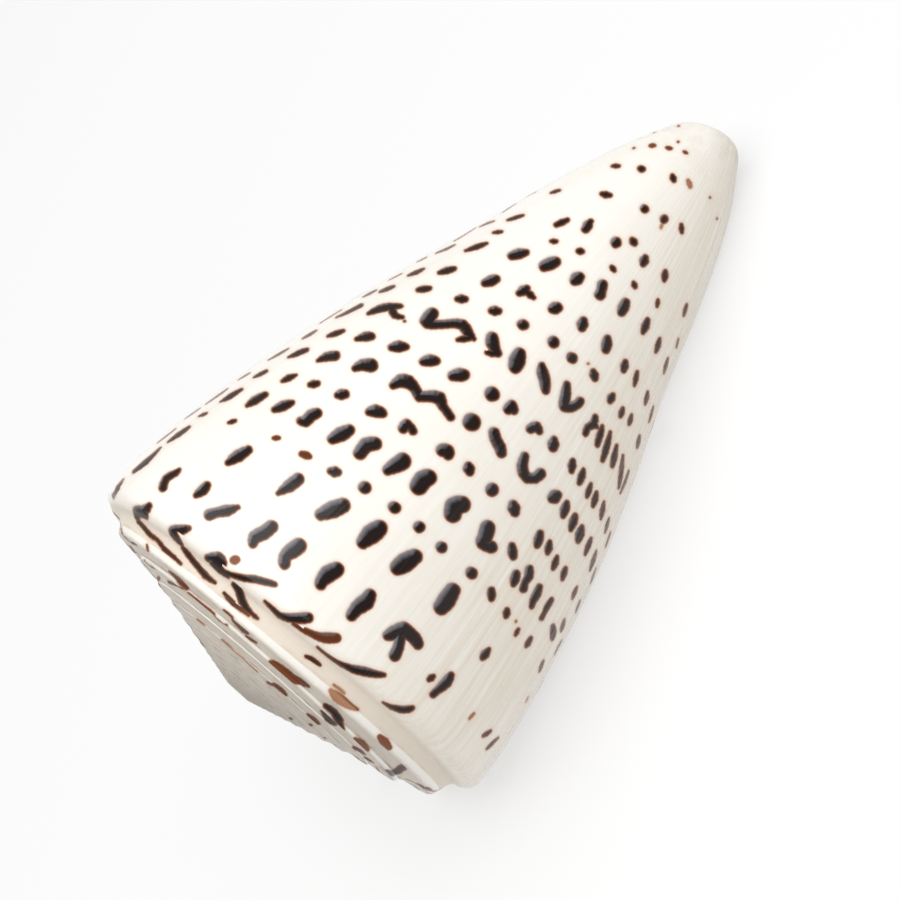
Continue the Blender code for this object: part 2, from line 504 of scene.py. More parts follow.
def restMatrix():
    rolled = Matrix.Rotation(math.radians(shellRest["roll"]), 4, "Z")
    laid = Matrix.Rotation(math.radians(90.0 + shellRest["pitch"]), 4, "Y")
    return Matrix.Translation(shellRest["offset"]) @ laid @ rolled


def coilAxis():
    # A point on the coiling axis and its direction towards the tip
    laid = restMatrix()
    return laid.translation, laid.to_3x3() @ Vector((0.0, 0.0, 1.0))


# Markings, read as strokes on the photograph turned upright: x, y and half width in pixels
markRows = {
    "tip specks": [
        [(389, 74, 1.8), (391.5, 71.5, 1.6)],
        [(403, 64.5, 1.6), (406, 63, 1.6)],
        [(397, 41, 0.7)],
        [(383, 62, 0.7)],
        [(378, 87, 0.8)],
        [(407, 53, 0.7)],
        [(418, 56.5, 0.9), (421, 56, 0.9)],
        [(468, 74, 0.5)],
        [(487, 85, 0.5)],
    ],
    "first dots": [
        [(374, 114.5, 1.8), (378.5, 110.5, 2.0)],
        [(396.5, 98.5, 3.0), (398.5, 97, 3.0)],
        [(425.5, 82.5, 2.5), (429, 85, 2.7)],
        [(440.5, 76, 1.7), (445.5, 78.5, 1.8)],
    ],
    "second dots": [
        [(345.5, 175, 1.4), (349.5, 168.5, 1.7)],
        [(384.5, 142.5, 2.8), (391, 138.5, 2.8)],
        [(426.5, 125.8, 3.9)],
        [(447.5, 119, 3.2), (448.5, 122, 3.0)],
        [(449.5, 125, 0.8), (451, 129, 0.7)],
        [(464.5, 113.5, 2.1), (469.5, 118.5, 2.0)],
    ],
    "third dots": [
        [(331, 224, 1.2), (335, 217.5, 1.9), (339, 211, 1.2)],
        [(370.5, 196, 2.9), (375.5, 185, 2.6)],
        [(394, 171, 3.4), (395.5, 180, 4.4)],
        [(427, 168, 4.1), (427.5, 171.5, 4.3)],
        [(437.5, 157, 3.2), (441.5, 158, 3.2)],
        [(459, 162, 3.4), (461.5, 168, 3.6)],
        [(483.5, 159.5, 2.0), (486, 163, 2.7), (488, 166.5, 1.5)],
        [(521, 170, 1.1), (523.5, 175, 1.8), (526, 179.5, 1.0)],
    ],
    "small dots": [
        [(328.5, 243, 1.6), (333.5, 237.5, 1.8)],
        [(377.5, 211.5, 1.8), (381, 208.5, 2.4)],
        [(404.5, 201, 2.7), (407.5, 199, 2.6)],
        [(440, 191, 2.2), (444, 192, 2.3)],
        [(467, 188.5, 2.2), (470.5, 190.5, 2.4)],
        [(496.5, 185.5, 1.6), (500, 190.5, 1.5)],
        [(537.5, 201, 0.7), (541.5, 208.5, 0.9)],
    ],
    "first ovals": [
        [(329, 194, 0.6), (333, 185.5, 0.7)],
        [(322, 221, 0.7), (325.5, 208, 0.8)],
        [(314.5, 247, 0.9), (317.5, 240.5, 1.4), (320.5, 235, 0.9)],
        [(319.5, 275, 1.2), (325, 265.5, 2.7), (330, 256, 1.4)],
        [(358, 248.5, 3.6), (362, 242, 4.4), (366, 236.5, 2.8)],
        [(389, 235, 4.6), (392, 229, 5.4), (394.5, 224, 4.2)],
        [(421, 226, 5.0), (422.5, 219.5, 5.2)],
        [(445, 210.5, 4.2), (447.5, 215, 3.8), (449.5, 219.5, 4.6)],
        [(474, 208.5, 3.6), (476, 214, 4.4), (477.5, 219, 3.2)],
        [(502, 207.5, 2.2), (504.5, 213.5, 3.4), (506.5, 219.5, 2.0)],
        [(523.5, 213.5, 1.4), (526.5, 219.5, 2.6), (529, 225.5, 1.2)],
        [(542.5, 223, 0.9), (546, 230, 1.9), (549, 236, 0.9)],
    ],
    "second ovals": [
        [(304.5, 275, 0.5), (308, 264, 0.6), (311.5, 252, 0.5)],
        [(299, 296, 0.7), (303.5, 287, 1.5), (307, 278.5, 0.8)],
        [(314.5, 308.5, 2.0), (318.5, 302.5, 3.4), (322.5, 296.5, 2.4)],
        [(355.5, 286.5, 3.4), (358.5, 281.5, 4.4), (361, 276.5, 3.6)],
        [(388, 271.5, 4.0), (390.5, 263.5, 4.2)],
        [(393, 266, 3.4), (401.5, 265.5, 2.4)],
        [(423, 262.5, 4.0), (426, 257, 5.6)],
        [(454, 250, 4.2), (458, 256.5, 4.4)],
        [(484, 248, 3.2), (487.5, 252.5, 4.4), (490, 257, 3.4)],
        [(513, 253.5, 3.2), (517, 260.5, 3.4)],
        [(528.5, 253, 1.4), (532, 259.5, 2.2), (535, 265, 1.0)],
        [(549.5, 261.5, 1.4), (553, 267, 2.4), (555.5, 271.5, 1.2)],
        [(563.5, 269, 0.9), (567, 276, 1.6), (570, 282.5, 0.8)],
        [(573.5, 279, 0.5), (579, 291, 0.8)],
    ],
    "round dots": [
        [(290.5, 315, 0.8), (294, 306.5, 0.9)],
        [(293, 331, 1.2), (296.5, 324, 2.4), (299.5, 317, 1.2)],
        [(310, 335.5, 2.4), (313.5, 331.5, 3.2), (317, 327.5, 2.2)],
        [(345.5, 316.5, 3.6), (351, 312, 4.0)],
        [(378.5, 303, 4.0), (384, 299, 4.0)],
        [(409.5, 294, 4.3), (413.5, 292, 4.4)],
        [(444.5, 285.5, 4.8), (447.5, 286, 4.8)],
        [(468, 285, 4.2), (472, 286, 4.3)],
        [(495.5, 282, 3.6), (500.5, 285.5, 3.9)],
        [(525.5, 287, 3.2), (527, 292.5, 3.5)],
        [(541.5, 290, 1.5), (543.5, 294, 2.4), (545, 297.5, 1.4)],
        [(552.5, 289.5, 1.5), (555, 294, 2.3), (556.5, 297.5, 1.4)],
        [(572.5, 300, 1.2), (575.5, 305, 2.2), (578, 309.5, 1.1)],
        [(486, 279.2, 0.7)],
    ],
    "upper waves": [
        [(281.5, 347, 0.6), (286, 335.5, 0.8)],
        [(282.5, 362, 1.3), (285.5, 356, 2.4), (288.5, 350, 1.4)],
        [(288, 386, 1.8), (293, 376, 3.6), (299, 368, 3.8), (307, 360, 2.2)],
        [(302, 367, 3.5), (309, 370.5, 3.0), (315.5, 367, 2.0)],
        [(320, 368.6, 1.1)],
        [(336, 345, 5.5), (337, 353, 6.0), (342, 353, 4.5), (350, 346.5, 3.6), (358, 338.5, 3.6)],
        [(358, 338.5, 3.6), (366, 333, 4.4), (375, 335, 4.2), (384, 336, 1.8)],
        [(380, 338, 3.5), (372, 347.5, 2.0)],
        [(397, 323, 5.0), (401, 327, 5.4), (408, 330, 4.0), (411.5, 331, 3.2)],
        [(411, 332, 3.2), (403, 337.5, 2.8)],
        [(428, 317, 5.0), (431, 324, 7.0), (434, 330, 5.4)],
        [(452.5, 311.5, 3.0), (458, 316, 4.6), (464, 320, 4.6), (469, 324.5, 4.0), (472, 327.5, 3.2)],
        [(484, 309, 3.0), (489, 316, 4.2), (493.5, 323, 4.6), (497, 326.5, 4.6)],
        [(497, 326.5, 4.6), (502, 323, 4.0), (505, 317, 3.6), (505, 313, 3.6)],
        [(527, 315, 2.8), (530, 321, 3.6), (528, 327, 3.0), (530, 333, 2.8)],
        [(530, 321, 3.0), (535, 321, 1.8)],
        [(538, 317, 1.6), (542, 325, 3.0), (546.5, 334, 2.2)],
        [(548, 316.5, 1.4), (553, 326, 2.6), (557, 334, 3.0), (560.5, 342, 2.0)],
        [(561.5, 322, 1.4), (566, 330, 2.6), (569, 335, 2.8), (571.5, 340, 1.8)],
        [(573, 325.5, 1.2), (579, 334, 2.0), (585, 343, 2.2), (590.5, 351.5, 1.4)],
        [(587.5, 333.5, 0.9), (592, 344, 1.6), (595.5, 354.5, 1.0)],
    ],
    "middle dots": [
        [(273, 377, 0.8), (275.5, 370.5, 1.5), (278, 364.5, 0.8)],
        [(266.5, 410, 1.0), (271, 400, 1.8), (276.5, 386, 2.4)],
        [(296, 413, 2.4), (301, 406, 4.2), (305, 402, 3.6)],
        [(328, 396.5, 3.4), (333, 391, 5.0), (338, 387, 3.0)],
        [(361, 386.5, 3.4), (365.5, 381, 5.0), (370, 377.5, 3.6)],
        [(392.5, 378, 4.0), (397.5, 372, 5.6), (400.5, 369.5, 4.6)],
        [(432, 366, 5.6), (436, 365, 6.4)],
        [(456.5, 366, 4.4), (456, 361, 4.0), (460.5, 363, 4.0)],
        [(486, 366, 3.8), (489, 361, 4.2), (494, 362, 3.0)],
        [(511, 359, 4.2), (515, 365.5, 5.0)],
        [(539, 363, 3.6), (544, 370.5, 3.4)],
        [(552.5, 362, 1.6), (555.5, 368, 3.2), (558, 374, 2.4)],
        [(567.5, 368, 1.4), (570.5, 374.5, 2.6), (573, 380, 1.4)],
        [(577.5, 371, 1.6), (581, 377, 3.0), (583.5, 382.5, 1.8)],
        [(589.5, 373, 1.2), (593.5, 380, 2.4), (597.5, 387, 1.2)],
        [(604, 382, 1.0), (607, 388.5, 2.0), (610, 394.5, 1.0)],
        [(614, 391, 0.6), (617, 398, 1.2), (620, 405, 0.7)],
    ],
    "lower waves": [
        [(258, 425, 0.5), (265, 402, 0.6)],
        [(255, 448, 1.0), (257.5, 441, 1.8), (259.5, 434.5, 1.0)],
        [(272.5, 430, 1.4), (276.5, 423, 2.6), (280, 416.5, 1.8)],
        [(281, 455, 1.8), (285, 447, 4.0), (290.5, 440.5, 4.6)],
        [(314, 436.5, 2.8), (318, 429, 5.0), (324, 424, 6.0)],
        [(354, 424, 3.2), (357, 416, 5.6), (363, 412, 5.8), (372, 412, 4.4), (381, 415.5, 4.2)],
        [(381, 415.5, 4.2), (389, 408.5, 4.6), (397, 403.5, 5.4), (405, 407, 3.8), (418, 410, 3.4)],
        [(435, 399.5, 7.6), (440, 400.5, 7.2)],
        [(461, 393, 4.4), (467, 397, 4.6), (475, 400, 4.8), (480, 403.5, 4.2)],
        [(500, 391, 3.6), (504, 399, 4.4), (510, 404, 4.4), (516, 405, 4.4)],
        [(516, 405, 4.4), (522, 400, 4.2), (523, 393, 4.4)],
        [(548, 404, 5.4), (550, 398.5, 5.2)],
        [(562, 398, 2.4), (565, 404, 4.0), (567.5, 410, 2.4)],
        [(576.5, 402, 2.4), (579.5, 408, 3.8), (582.5, 415, 2.0)],
        [(589, 406, 2.0), (592.5, 413, 4.4), (595.5, 419, 2.4)],
        [(603.5, 409, 1.4), (606.5, 416.5, 2.8), (609.5, 424, 1.4)],
        [(616, 415, 1.0), (620, 424, 2.4), (623.5, 432.5, 1.2)],
        [(627, 428, 0.8), (630, 436, 1.6), (632.5, 442, 0.8)],
    ],
    "lower dots": [
        [(243.5, 487, 0.8), (247, 477, 1.5), (250.5, 466.5, 0.9)],
        [(256.8, 471.5, 1.2), (261, 463, 2.9), (265.3, 455, 2.2)],
        [(268, 494, 1.6), (270.5, 487.5, 3.2), (273.8, 481, 1.4)],
        [(291, 478.5, 3.0), (295.5, 473, 3.6)],
        [(318.5, 468.5, 3.6), (323.5, 462.5, 5.0)],
        [(353.5, 460, 3.2), (358, 455, 5.4), (364, 452, 4.0)],
        [(390, 450, 4.2), (390, 444, 4.0), (399, 445.5, 3.6)],
        [(434, 440.5, 5.4), (438, 438, 5.6), (441, 440, 4.6)],
        [(463.5, 435, 4.4), (468.5, 438.5, 5.0)],
        [(497, 436, 5.6), (498, 439, 5.2)],
        [(523, 434.5, 4.8), (529, 439, 5.4)],
        [(562, 438.5, 3.0), (565, 444, 4.0), (567.5, 449, 2.8)],
        [(575, 438.5, 2.0), (578, 443.5, 3.4), (580.5, 448, 2.0)],
        [(590.5, 445, 1.8), (593, 450.5, 3.0), (595, 456, 1.8)],
        [(604, 448, 1.6), (606, 452.5, 3.0), (608.5, 457.5, 2.0)],
        [(625, 455, 1.2), (627, 460.5, 2.4), (629, 465.5, 1.2)],
        [(636.5, 463, 0.9), (638.5, 468.5, 1.7), (640.5, 473.5, 0.9)],
    ],
    "kidneys": [
        [(234, 521.5, 0.7), (236, 515, 1.3), (237.7, 510, 0.8)],
        [(244, 509.5, 1.0), (246.5, 503.5, 2.2), (249, 497.5, 1.6)],
        [(257.5, 535.5, 1.8), (260, 527, 4.0), (263.5, 516, 3.0)],
        [(281, 520.5, 3.0), (285, 512, 4.6), (289, 504.5, 2.8)],
        [(307.5, 512, 3.2), (312, 509, 4.6), (312.5, 501, 5.0), (315, 495.5, 4.2)],
        [(344, 504.5, 4.4), (347, 496, 6.0), (350.5, 487, 5.0)],
        [(374, 497, 5.6), (373.5, 487, 6.2), (379, 480, 5.6)],
        [(406, 491, 4.6), (409, 482, 6.4), (411, 475, 7.2)],
        [(440, 483, 7.6), (439, 476, 7.8), (441.5, 470, 7.0)],
        [(484, 481.5, 7.4), (480.5, 475, 8.2), (484, 468.5, 7.6)],
        [(519, 469, 6.4), (524, 479, 6.0), (525, 483.5, 5.4), (534, 481, 5.6)],
        [(549, 466.5, 3.0), (553, 470, 4.0), (557, 473.5, 3.2)],
        [(571, 484.5, 3.4), (573.5, 489.5, 4.0), (575.5, 494.5, 2.2)],
        [(578, 472.5, 3.6), (581.5, 478, 4.0), (583, 485, 3.0), (586, 491, 3.4)],
        [(597, 479.5, 3.0), (599.5, 486, 3.8), (601, 493, 3.2), (603.5, 498.5, 2.6)],
        [(614.5, 481, 2.4), (616, 489, 2.8), (617.5, 495, 2.0), (619, 501, 2.2)],
        [(633, 500, 2.2), (637, 504, 3.4), (640, 508.5, 2.6)],
        [(637.5, 488, 1.2), (640, 493, 2.2), (642, 497.5, 1.2)],
        [(648.8, 505, 0.8), (650.5, 512, 1.4), (652.5, 519, 0.8)],
    ],
    "last dots": [
        [(225.6, 561, 0.8), (228.5, 549, 1.4), (231.3, 537, 0.9)],
        [(235, 550, 1.0), (238.5, 540, 3.0), (242.3, 528, 1.8)],
        [(255, 560.5, 1.8), (258.5, 555.5, 2.2)],
        [(299, 542.5, 1.8), (302.5, 539.5, 2.0)],
        [(330.5, 536, 2.6), (335, 534, 3.0), (338.5, 533, 1.6)],
        [(364, 529.5, 4.2), (370, 526, 4.2)],
        [(399.5, 520, 5.2), (401, 519.5, 5.2)],
        [(434, 515.5, 5.0), (437.5, 514.5, 4.8)],
        [(466.5, 513.5, 4.6), (468, 513, 4.6)],
        [(496, 514, 4.6), (498.5, 514, 4.6)],
        [(535, 513, 4.8), (538.5, 514, 4.8)],
        [(563, 513.5, 3.0), (566, 516.5, 3.2), (568.5, 519.5, 2.4)],
        [(588, 518, 3.2), (591, 523, 3.0)],
        [(601.9, 520.4, 1.0)],
        [(609, 525, 1.8), (610.5, 531, 1.8)],
        [(624, 523.5, 1.8), (625.5, 529, 2.4), (626, 532.5, 1.2)],
        [(649, 533, 1.4), (651, 538.5, 2.0), (652.5, 542, 1.0)],
        [(663.5, 549, 0.6), (666, 560, 0.7)],
    ],
    "long dashes": [
        [(219.5, 586, 0.7), (221.5, 578, 1.2), (223.5, 569.5, 0.7)],
        [(228.5, 575, 1.4), (231.5, 569, 1.8)],
        [(214.8, 622, 0.7), (217, 611, 1.1), (218.8, 601, 0.7)],
        [(222, 615, 1.0), (225, 603, 3.0), (228, 590.5, 1.6)],
        [(281, 591, 2.8), (284.5, 579, 5.4), (287.5, 568.5, 3.8)],
        [(338.5, 581, 2.0), (342.5, 569, 5.0), (344.5, 557.5, 5.0)],
        [(385, 569, 5.0), (391, 557, 7.4), (395.5, 548, 6.4)],
        [(435, 562, 5.4), (436, 551, 8.2), (438, 541, 7.2)],
        [(483.5, 538.5, 6.4), (480, 550, 8.2), (478, 558, 6.6)],
        [(534, 539, 6.4), (536, 550, 7.6), (536.5, 558.5, 7.0)],
        [(600, 560, 2.0), (600.5, 565, 3.6), (600.5, 570, 2.2)],
        [(661, 569.5, 0.6), (662.3, 574, 0.6)],
    ],
    "short dashes": [
        [(216, 659, 2.4), (218.5, 645, 3.4), (219.5, 634, 2.2), (220, 625, 1.0)],
        [(248.5, 653, 3.6), (245, 644, 3.4), (248, 634, 3.0), (248.8, 629, 1.6)],
        [(278.5, 636.5, 2.6), (280.3, 629, 4.4), (280, 622.5, 3.4)],
        [(301.5, 642.5, 4.8), (306, 635.5, 4.0), (312, 628, 4.6), (317.5, 618.5, 2.2)],
        [(356, 611, 5.4), (354, 621, 5.6), (350.5, 629, 5.2), (353, 635.5, 3.8)],
        [(389, 607, 6.6), (387, 616, 6.6), (386, 624, 5.0), (390, 630, 4.8)],
        [(433, 600, 6.4), (430, 609, 7.2), (429.5, 617, 5.6), (431, 621.5, 4.6)],
        [(475, 597, 5.0), (476.5, 605, 7.0), (474, 615, 5.8), (475, 624.5, 4.6)],
        [(523, 600, 6.0), (518, 610, 6.0), (515, 616, 4.0)],
        [(526, 600, 6.0), (536, 600, 5.6), (543, 602, 4.8)],
        [(526, 609, 4.6), (531, 618, 4.4), (533.5, 626, 5.0)],
        [(576, 616.5, 2.8), (575, 621.5, 2.8)],
        [(588.5, 604, 3.0), (590, 612, 4.6), (589, 622, 3.4), (588, 630, 3.0)],
        [(631, 617.5, 0.9), (631, 624, 1.0)],
        [(655, 620, 1.8), (653, 628, 1.8)],
        [(665.2, 620, 1.0), (664.5, 628, 1.6), (664, 635, 1.0)],
    ],
    "shoulder flames": [
        [(213, 674, 1.2), (214.5, 683, 2.4), (217, 693, 1.4)],
        [(250, 676, 2.4), (249.5, 685, 4.5), (245, 688, 4.0), (248, 692, 3.0)],
        [(250, 685, 3.5), (255, 686, 2.4)],
        [(252, 694.5, 1.6), (262, 695.5, 1.4), (270, 697, 1.6), (278, 696, 1.2), (290, 698, 1.4)],
        [(290, 698, 1.4), (303, 698, 1.2), (312, 698.5, 0.7)],
        [(294.5, 666.5, 2.0), (290, 673, 3.6), (285, 679, 3.6), (291, 682, 3.0), (299, 683, 1.8)],
        [(303, 685, 1.2), (312, 686.5, 2.0), (325, 689, 1.8), (338, 691, 2.2), (350, 690, 1.0)],
        [(329, 676, 2.8), (336, 670, 4.5), (342, 671, 4.0)],
        [(336, 676, 3.4), (346, 677, 3.0), (355, 676.5, 2.2)],
        [(350, 676, 2.0), (360, 672, 2.0), (370, 667, 2.4), (378, 661, 2.6), (388, 656, 2.4),
            (396, 652, 2.0)],
        [(349, 661, 2.6), (351.5, 658.5, 2.6)],
        [(366, 678.5, 2.0), (373, 680, 2.6), (380, 684, 2.6), (388, 688, 2.4), (398, 689, 1.4)],
        [(398, 689, 1.4), (406, 689, 0.8)],
        [(400, 671, 0.9), (412, 671.5, 1.8), (420, 672, 2.2), (429, 668, 3.0), (437, 661.5, 3.8),
            (443.5, 655, 3.8)],
        [(436, 669.5, 1.0), (446, 667.5, 1.8), (456, 665, 2.2), (465, 661.5, 3.0), (473, 656, 3.8),
            (478, 651.5, 3.4)],
        [(470, 671, 0.7), (484, 670.5, 1.0), (499, 668, 1.8), (511, 664, 2.8)],
        [(511, 664, 2.8), (521, 658.5, 3.2), (531, 652.5, 2.6), (538, 648, 1.6)],
        [(556, 669, 0.8), (565, 667, 1.8), (573, 663, 2.4), (579, 657.5, 2.6), (581, 654, 1.6)],
        [(636, 707, 1.0), (642, 705.5, 1.6), (648, 703.5, 1.0)],
        [(364, 692, 0.8), (378, 693.3, 1.4), (397, 692.5, 0.7)],
    ],
}

# How dark a paler stroke is against the usual 1, by its row and its number in the row
paleMarks = {
    "tip specks": {index: 0.55 for index in range(9)},
    "first dots": {3: 0.4},
    "second dots": {4: 0.35},
    "round dots": {13: 0.4},
    "upper waves": {4: 0.5},
    "last dots": {3: 0.6, 4: 0.6, 8: 0.8, 9: 0.8, 11: 0.75, 13: 0.4, 14: 0.7},
    "long dashes": {11: 0.4},
    "short dashes": {11: 0.7, 13: 0.4},
    "shoulder flames": {10: 0.5, 14: 0.6, 18: 0.6, 19: 0.6},
}

# Markings of the spire, read on the photograph itself, by how dark they are
spireMarks = {
    0.5: [
        [(147, 545, 0.8), (148, 550.5, 0.8)],
        [(145, 561.5, 1.2), (149.5, 565.5, 1.8), (154, 568, 1.0)],
        [(170, 572, 1.0), (176, 577, 2.2), (181.5, 582.5, 2.6), (186.5, 587.5, 2.0)],
        [(156, 586, 0.7), (155.5, 582, 0.9), (159.5, 577.5, 0.9)],
        [(188.5, 593, 0.5), (205, 606.5, 0.6), (213, 614, 1.1), (219, 620, 1.0), (226.5, 625.5, 0.6)],
        [(224, 611, 1.0), (231, 617.5, 2.0), (238, 624, 3.0), (244, 630, 2.8), (247, 632.5, 1.6)],
        [(246, 636, 0.5), (256, 642.5, 0.7)],
        [(175, 605, 0.8)],
        [(184, 624.5, 0.6), (193, 634, 0.8), (204, 646, 0.6)],
        [(270.5, 662, 1.2), (277, 665, 2.6), (285, 672, 4.0), (292, 678, 3.6), (300, 681, 3.0)],
        [(300, 681, 3.0), (308, 686, 1.6)],
        [(268, 682.5, 0.8), (274, 685.5, 2.0), (280, 690, 2.6), (285, 694, 1.6)],
        [(308.5, 715.5, 1.6), (313.5, 719, 2.4), (318, 723, 1.4)],
        [(310.6, 725, 1.2)],
        [(290.6, 718.6, 1.2)],
        [(324.8, 738, 0.8)],
        [(380, 737, 2.0), (384.5, 742, 3.4), (388.5, 747, 2.6)],
        [(355.5, 739.5, 1.6), (361, 744, 3.0), (367, 749, 2.0)],
        [(354, 747.5, 1.2), (360, 750.5, 2.0), (364, 754, 1.0)],
        [(366, 758, 1.2), (369, 760, 2.0), (372.5, 762.5, 0.8)],
        [(380, 775, 0.6), (386.5, 779.5, 0.6)],
    ],
    0.9: [
        [(115, 521, 0.6), (121, 529, 0.9), (123.5, 535.5, 0.7), (130, 542, 0.7)],
        [(131, 543, 0.7), (135.5, 544, 2.0)],
        [(130.5, 546, 0.5), (136.7, 558, 0.5)],
        [(168.5, 582, 0.8), (175, 584.5, 1.3), (182, 589, 0.8)],
        [(306, 656.5, 1.0), (311, 658.5, 1.6), (317, 662.5, 1.4), (320, 665, 0.8)],
        [(326, 706, 2.4), (334, 712, 3.4), (341, 720, 2.0)],
        [(323, 712, 2.0), (329, 719, 4.0), (334, 723, 3.0)],
        [(333, 712, 2.5), (338, 720, 2.6), (343, 729, 1.2)],
        [(381, 767, 1.0), (387, 771.5, 1.8), (393, 773.5, 3.4), (399, 770, 3.0), (403.5, 766.5, 3.0)],
        [(419.5, 785.5, 1.2), (424.5, 788, 2.0), (430, 790, 1.0), (441, 792, 0.5)],
    ],
    0.35: [
        [(197.5, 620, 0.6), (204, 625.5, 0.6)],
        [(222, 640.5, 0.4), (233, 650, 0.5), (243, 658.5, 0.5), (257, 671, 0.6)],
        [(331, 691, 1.6), (337, 697, 4.0), (344, 702, 3.6), (351, 706.5, 2.2), (357, 709, 1.0)],
        [(334, 685, 0.7), (344, 693.5, 0.7)],
        [(358, 765.5, 0.8), (365, 771, 1.3), (372, 775.5, 0.7)],
    ],
}

# How strokes are laid on the shell
markRule = {
    "depth share": 0.4,         # how much distance along the view counts against distance across it
    "reach": 0.31,              # from the camera to the shell, in metres
    "near": 0.0013,             # how far round a stroke its halo may lie
    "near per half": 0.004,     # and how much further for each millimetre of its half width
    "swell": 1.12,              # how much wider a bent mark is than it was read
    "flame swell": 1.3,
    "oval ends": 0.85,          # widths of a straight mark, against the widths read
    "oval middle": 1.15,
    "search step": 0.7,         # pixels, where a stroke's point lies just beside the shell
    "search steps": 30,
    "seen within": 0.0004,      # metres between a place and what the camera sees towards it
    "ranks": 3,                 # how many pieces of strokes a face can keep
    # the seen marks' pale side faces the light: painted sheen on top of the veil
    "seen pale and painted sheen lean": (-0.751, 0.660, 0.0),      # where the pale side of a seen mark faces, across the view
    "far away": 1000.0,         # where a face without a mark has its stroke, in millimetres
    "flat scale": (0.4, 87.0),  # millimetres for a degree of turn and for one step of across
}

# How the side that the photograph hides is marked
hiddenRule = {
    "seed": 11,
    "body from": 0.9,           # across, where the marks of the body begin
    "well seen": 0.45,          # how squarely a mark faces the camera before it is used again
    "row gap": 0.6,             # between copies of a row, against the usual gap in it
    "blocks back": 6,
    "blocks on": 2,
    "shift": 0.2,               # how far a copied mark may stray, as a share of the gap
    "lift": 0.004,              # and in places across
    "size": (0.85, 1.15),
    "lip margin": 4.0,          # degrees kept free of marks
    "inner margin": 6.0,
    "spire from": -185.0,       # turns, in degrees
    "spire to": -1500.0,
    "spire next": (11.0, 27.0),
    "spire hidden": (-178.0, -8.0),
    "blotch across": (0.45, 0.85),
    "blotch long": (1.5, 4.0),
    "blotch slant": 0.3,
    "blotch half": (0.3, 0.8),
    "blotch shape": (0.5, 1.0, 0.6),
    "blotch tone": (0.5, 0.9),
    "flame hidden": -170.0,
    "flame half": (0.5, 0.9),
    "flame": ((-2.2, 0.75), (-0.8, 0.9), (0.0, 1.0), (0.6, 1.03)),
    "flame shape": (0.4, 1.0, 1.0, 0.5),
}

view = {
    "location": (-0.013606, -0.260988, 0.199990),
    "right": (0.4660, -0.5108, -0.7224),
    "up": (0.8844, 0.2488, 0.3947),
    "lens": 96.5,
    "sensor": 36.0,
    "frame": 900.0,                        # pixels
    "nearest": 0.01,
    "upright turn": 41.3,                  # degrees from the photograph to its upright page
    "upright centre": (425.0, 457.0),
    "upright middle": 437.0,               # the shell's middle on the upright page
    "spire middle": (300.0, 620.0),
}


def viewAxes():
    right = Vector(view["right"]).normalized()
    up = Vector(view["up"])
    up = (up - right * up.dot(right)).normalized()
    return right, up, right.cross(up)


def photoPixel(x, y):
    # From the upright page back to the photograph
    centre = view["upright centre"]
    turned = Matrix.Rotation(math.radians(view["upright turn"]), 2)
    return turned @ Vector((x - centre[0], y - centre[1])) + Vector(centre)


def focalPixels():
    return view["lens"] / view["sensor"] * view["frame"]


def pixelRay(pixel):
    right, up, back = viewAxes()
    focal = focalPixels()
    half = 0.5 * view["frame"]
    return (right * ((pixel[0] - half) / focal) + up * ((half - pixel[1]) / focal) - back).normalized()


def sightPlaces(points):
    # Millimetres across the view, with depth counted less, so that a mark keeps its seen shape
    right, up, back = [np.array(axis) for axis in viewAxes()]
    offset = points - np.array(view["location"])
    depth = -(offset @ back)
    across = offset @ right / depth * markRule["reach"]
    high = offset @ up / depth * markRule["reach"]
    return np.stack((across, high, depth * markRule["depth share"]), axis=1) * 1000.0


def plainPlaces(points):
    return points * 1000.0


# Where a stroke is measured: the seen ones across the view, the others on the shell itself
spaces = {True: sightPlaces, False: plainPlaces}
tiny = 1e-9


def readValues(data, name, kind, width=1):
    values = np.zeros(len(data) * width, kind)
    data.foreach_get(name, values)
    return values.reshape(-1, width) if width > 1 else values


def floatValues(mesh, name):
    return readValues(mesh.attributes[name].data, "value", np.float32)


def cornerPlaces(mesh):
    points = readValues(mesh.vertices, "co", np.float32, 3)
    return points[readValues(mesh.loops, "vertex_index", np.int32)]


class SurfaceMap:
    # Goes between places on the shell's outside and flat places of turn and across

    turnScale, acrossScale = markRule["flat scale"]

    def __init__(self, mesh):
        mesh.calc_loop_triangles()
        triangles = readValues(mesh.loop_triangles, "loops", np.int32, 3)
        outside = floatValues(mesh, "sheet")[triangles].max(axis=1) < 0.5
        corners = triangles[outside].reshape(-1)
        solid = cornerPlaces(mesh)[corners]
        turn = floatValues(mesh, "turn")[corners] * self.turnScale
        across = floatValues(mesh, "across")[corners] * self.acrossScale
        flat = np.stack((turn, across, turn * 0.0), axis=1)
        self.solid = [Vector(place) for place in solid.tolist()]
        self.flat = [Vector(place) for place in flat.tolist()]
        faces = np.arange(len(corners)).reshape(-1, 3).tolist()
        self.solidTree = BVHTree.FromPolygons(self.solid, faces)
        self.flatTree = BVHTree.FromPolygons(self.flat, faces)

    def carried(self, place, index, source, target):
        corners = slice(3 * index, 3 * index + 3)
        return barycentric_transform(place, *source[corners], *target[corners])

    def toFlat(self, place, index):
        flat = self.carried(place, index, self.solid, self.flat)
        return flat.x / self.turnScale, flat.y / self.acrossScale

    def toSolid(self, turn, across):
        sought = Vector((turn * self.turnScale, across * self.acrossScale, 0.0))
        place, normal, index, gap = self.flatTree.find_nearest(sought)
        return self.carried(place, index, self.flat, self.solid)

    def cast(self, pixel, middle):
        # The place seen at a pixel, or beside it towards the middle where the pixel misses the shell
        origin = Vector(view["location"])
        step = (middle - pixel).normalized() * markRule["search step"]
        for attempt in range(markRule["search steps"]):
            place, normal, index, gap = self.solidTree.ray_cast(origin, pixelRay(pixel))
            if place is not None:
                facing = abs(normal.dot(pixelRay(pixel)))
                return place, index, facing
            pixel = pixel + step
        return None


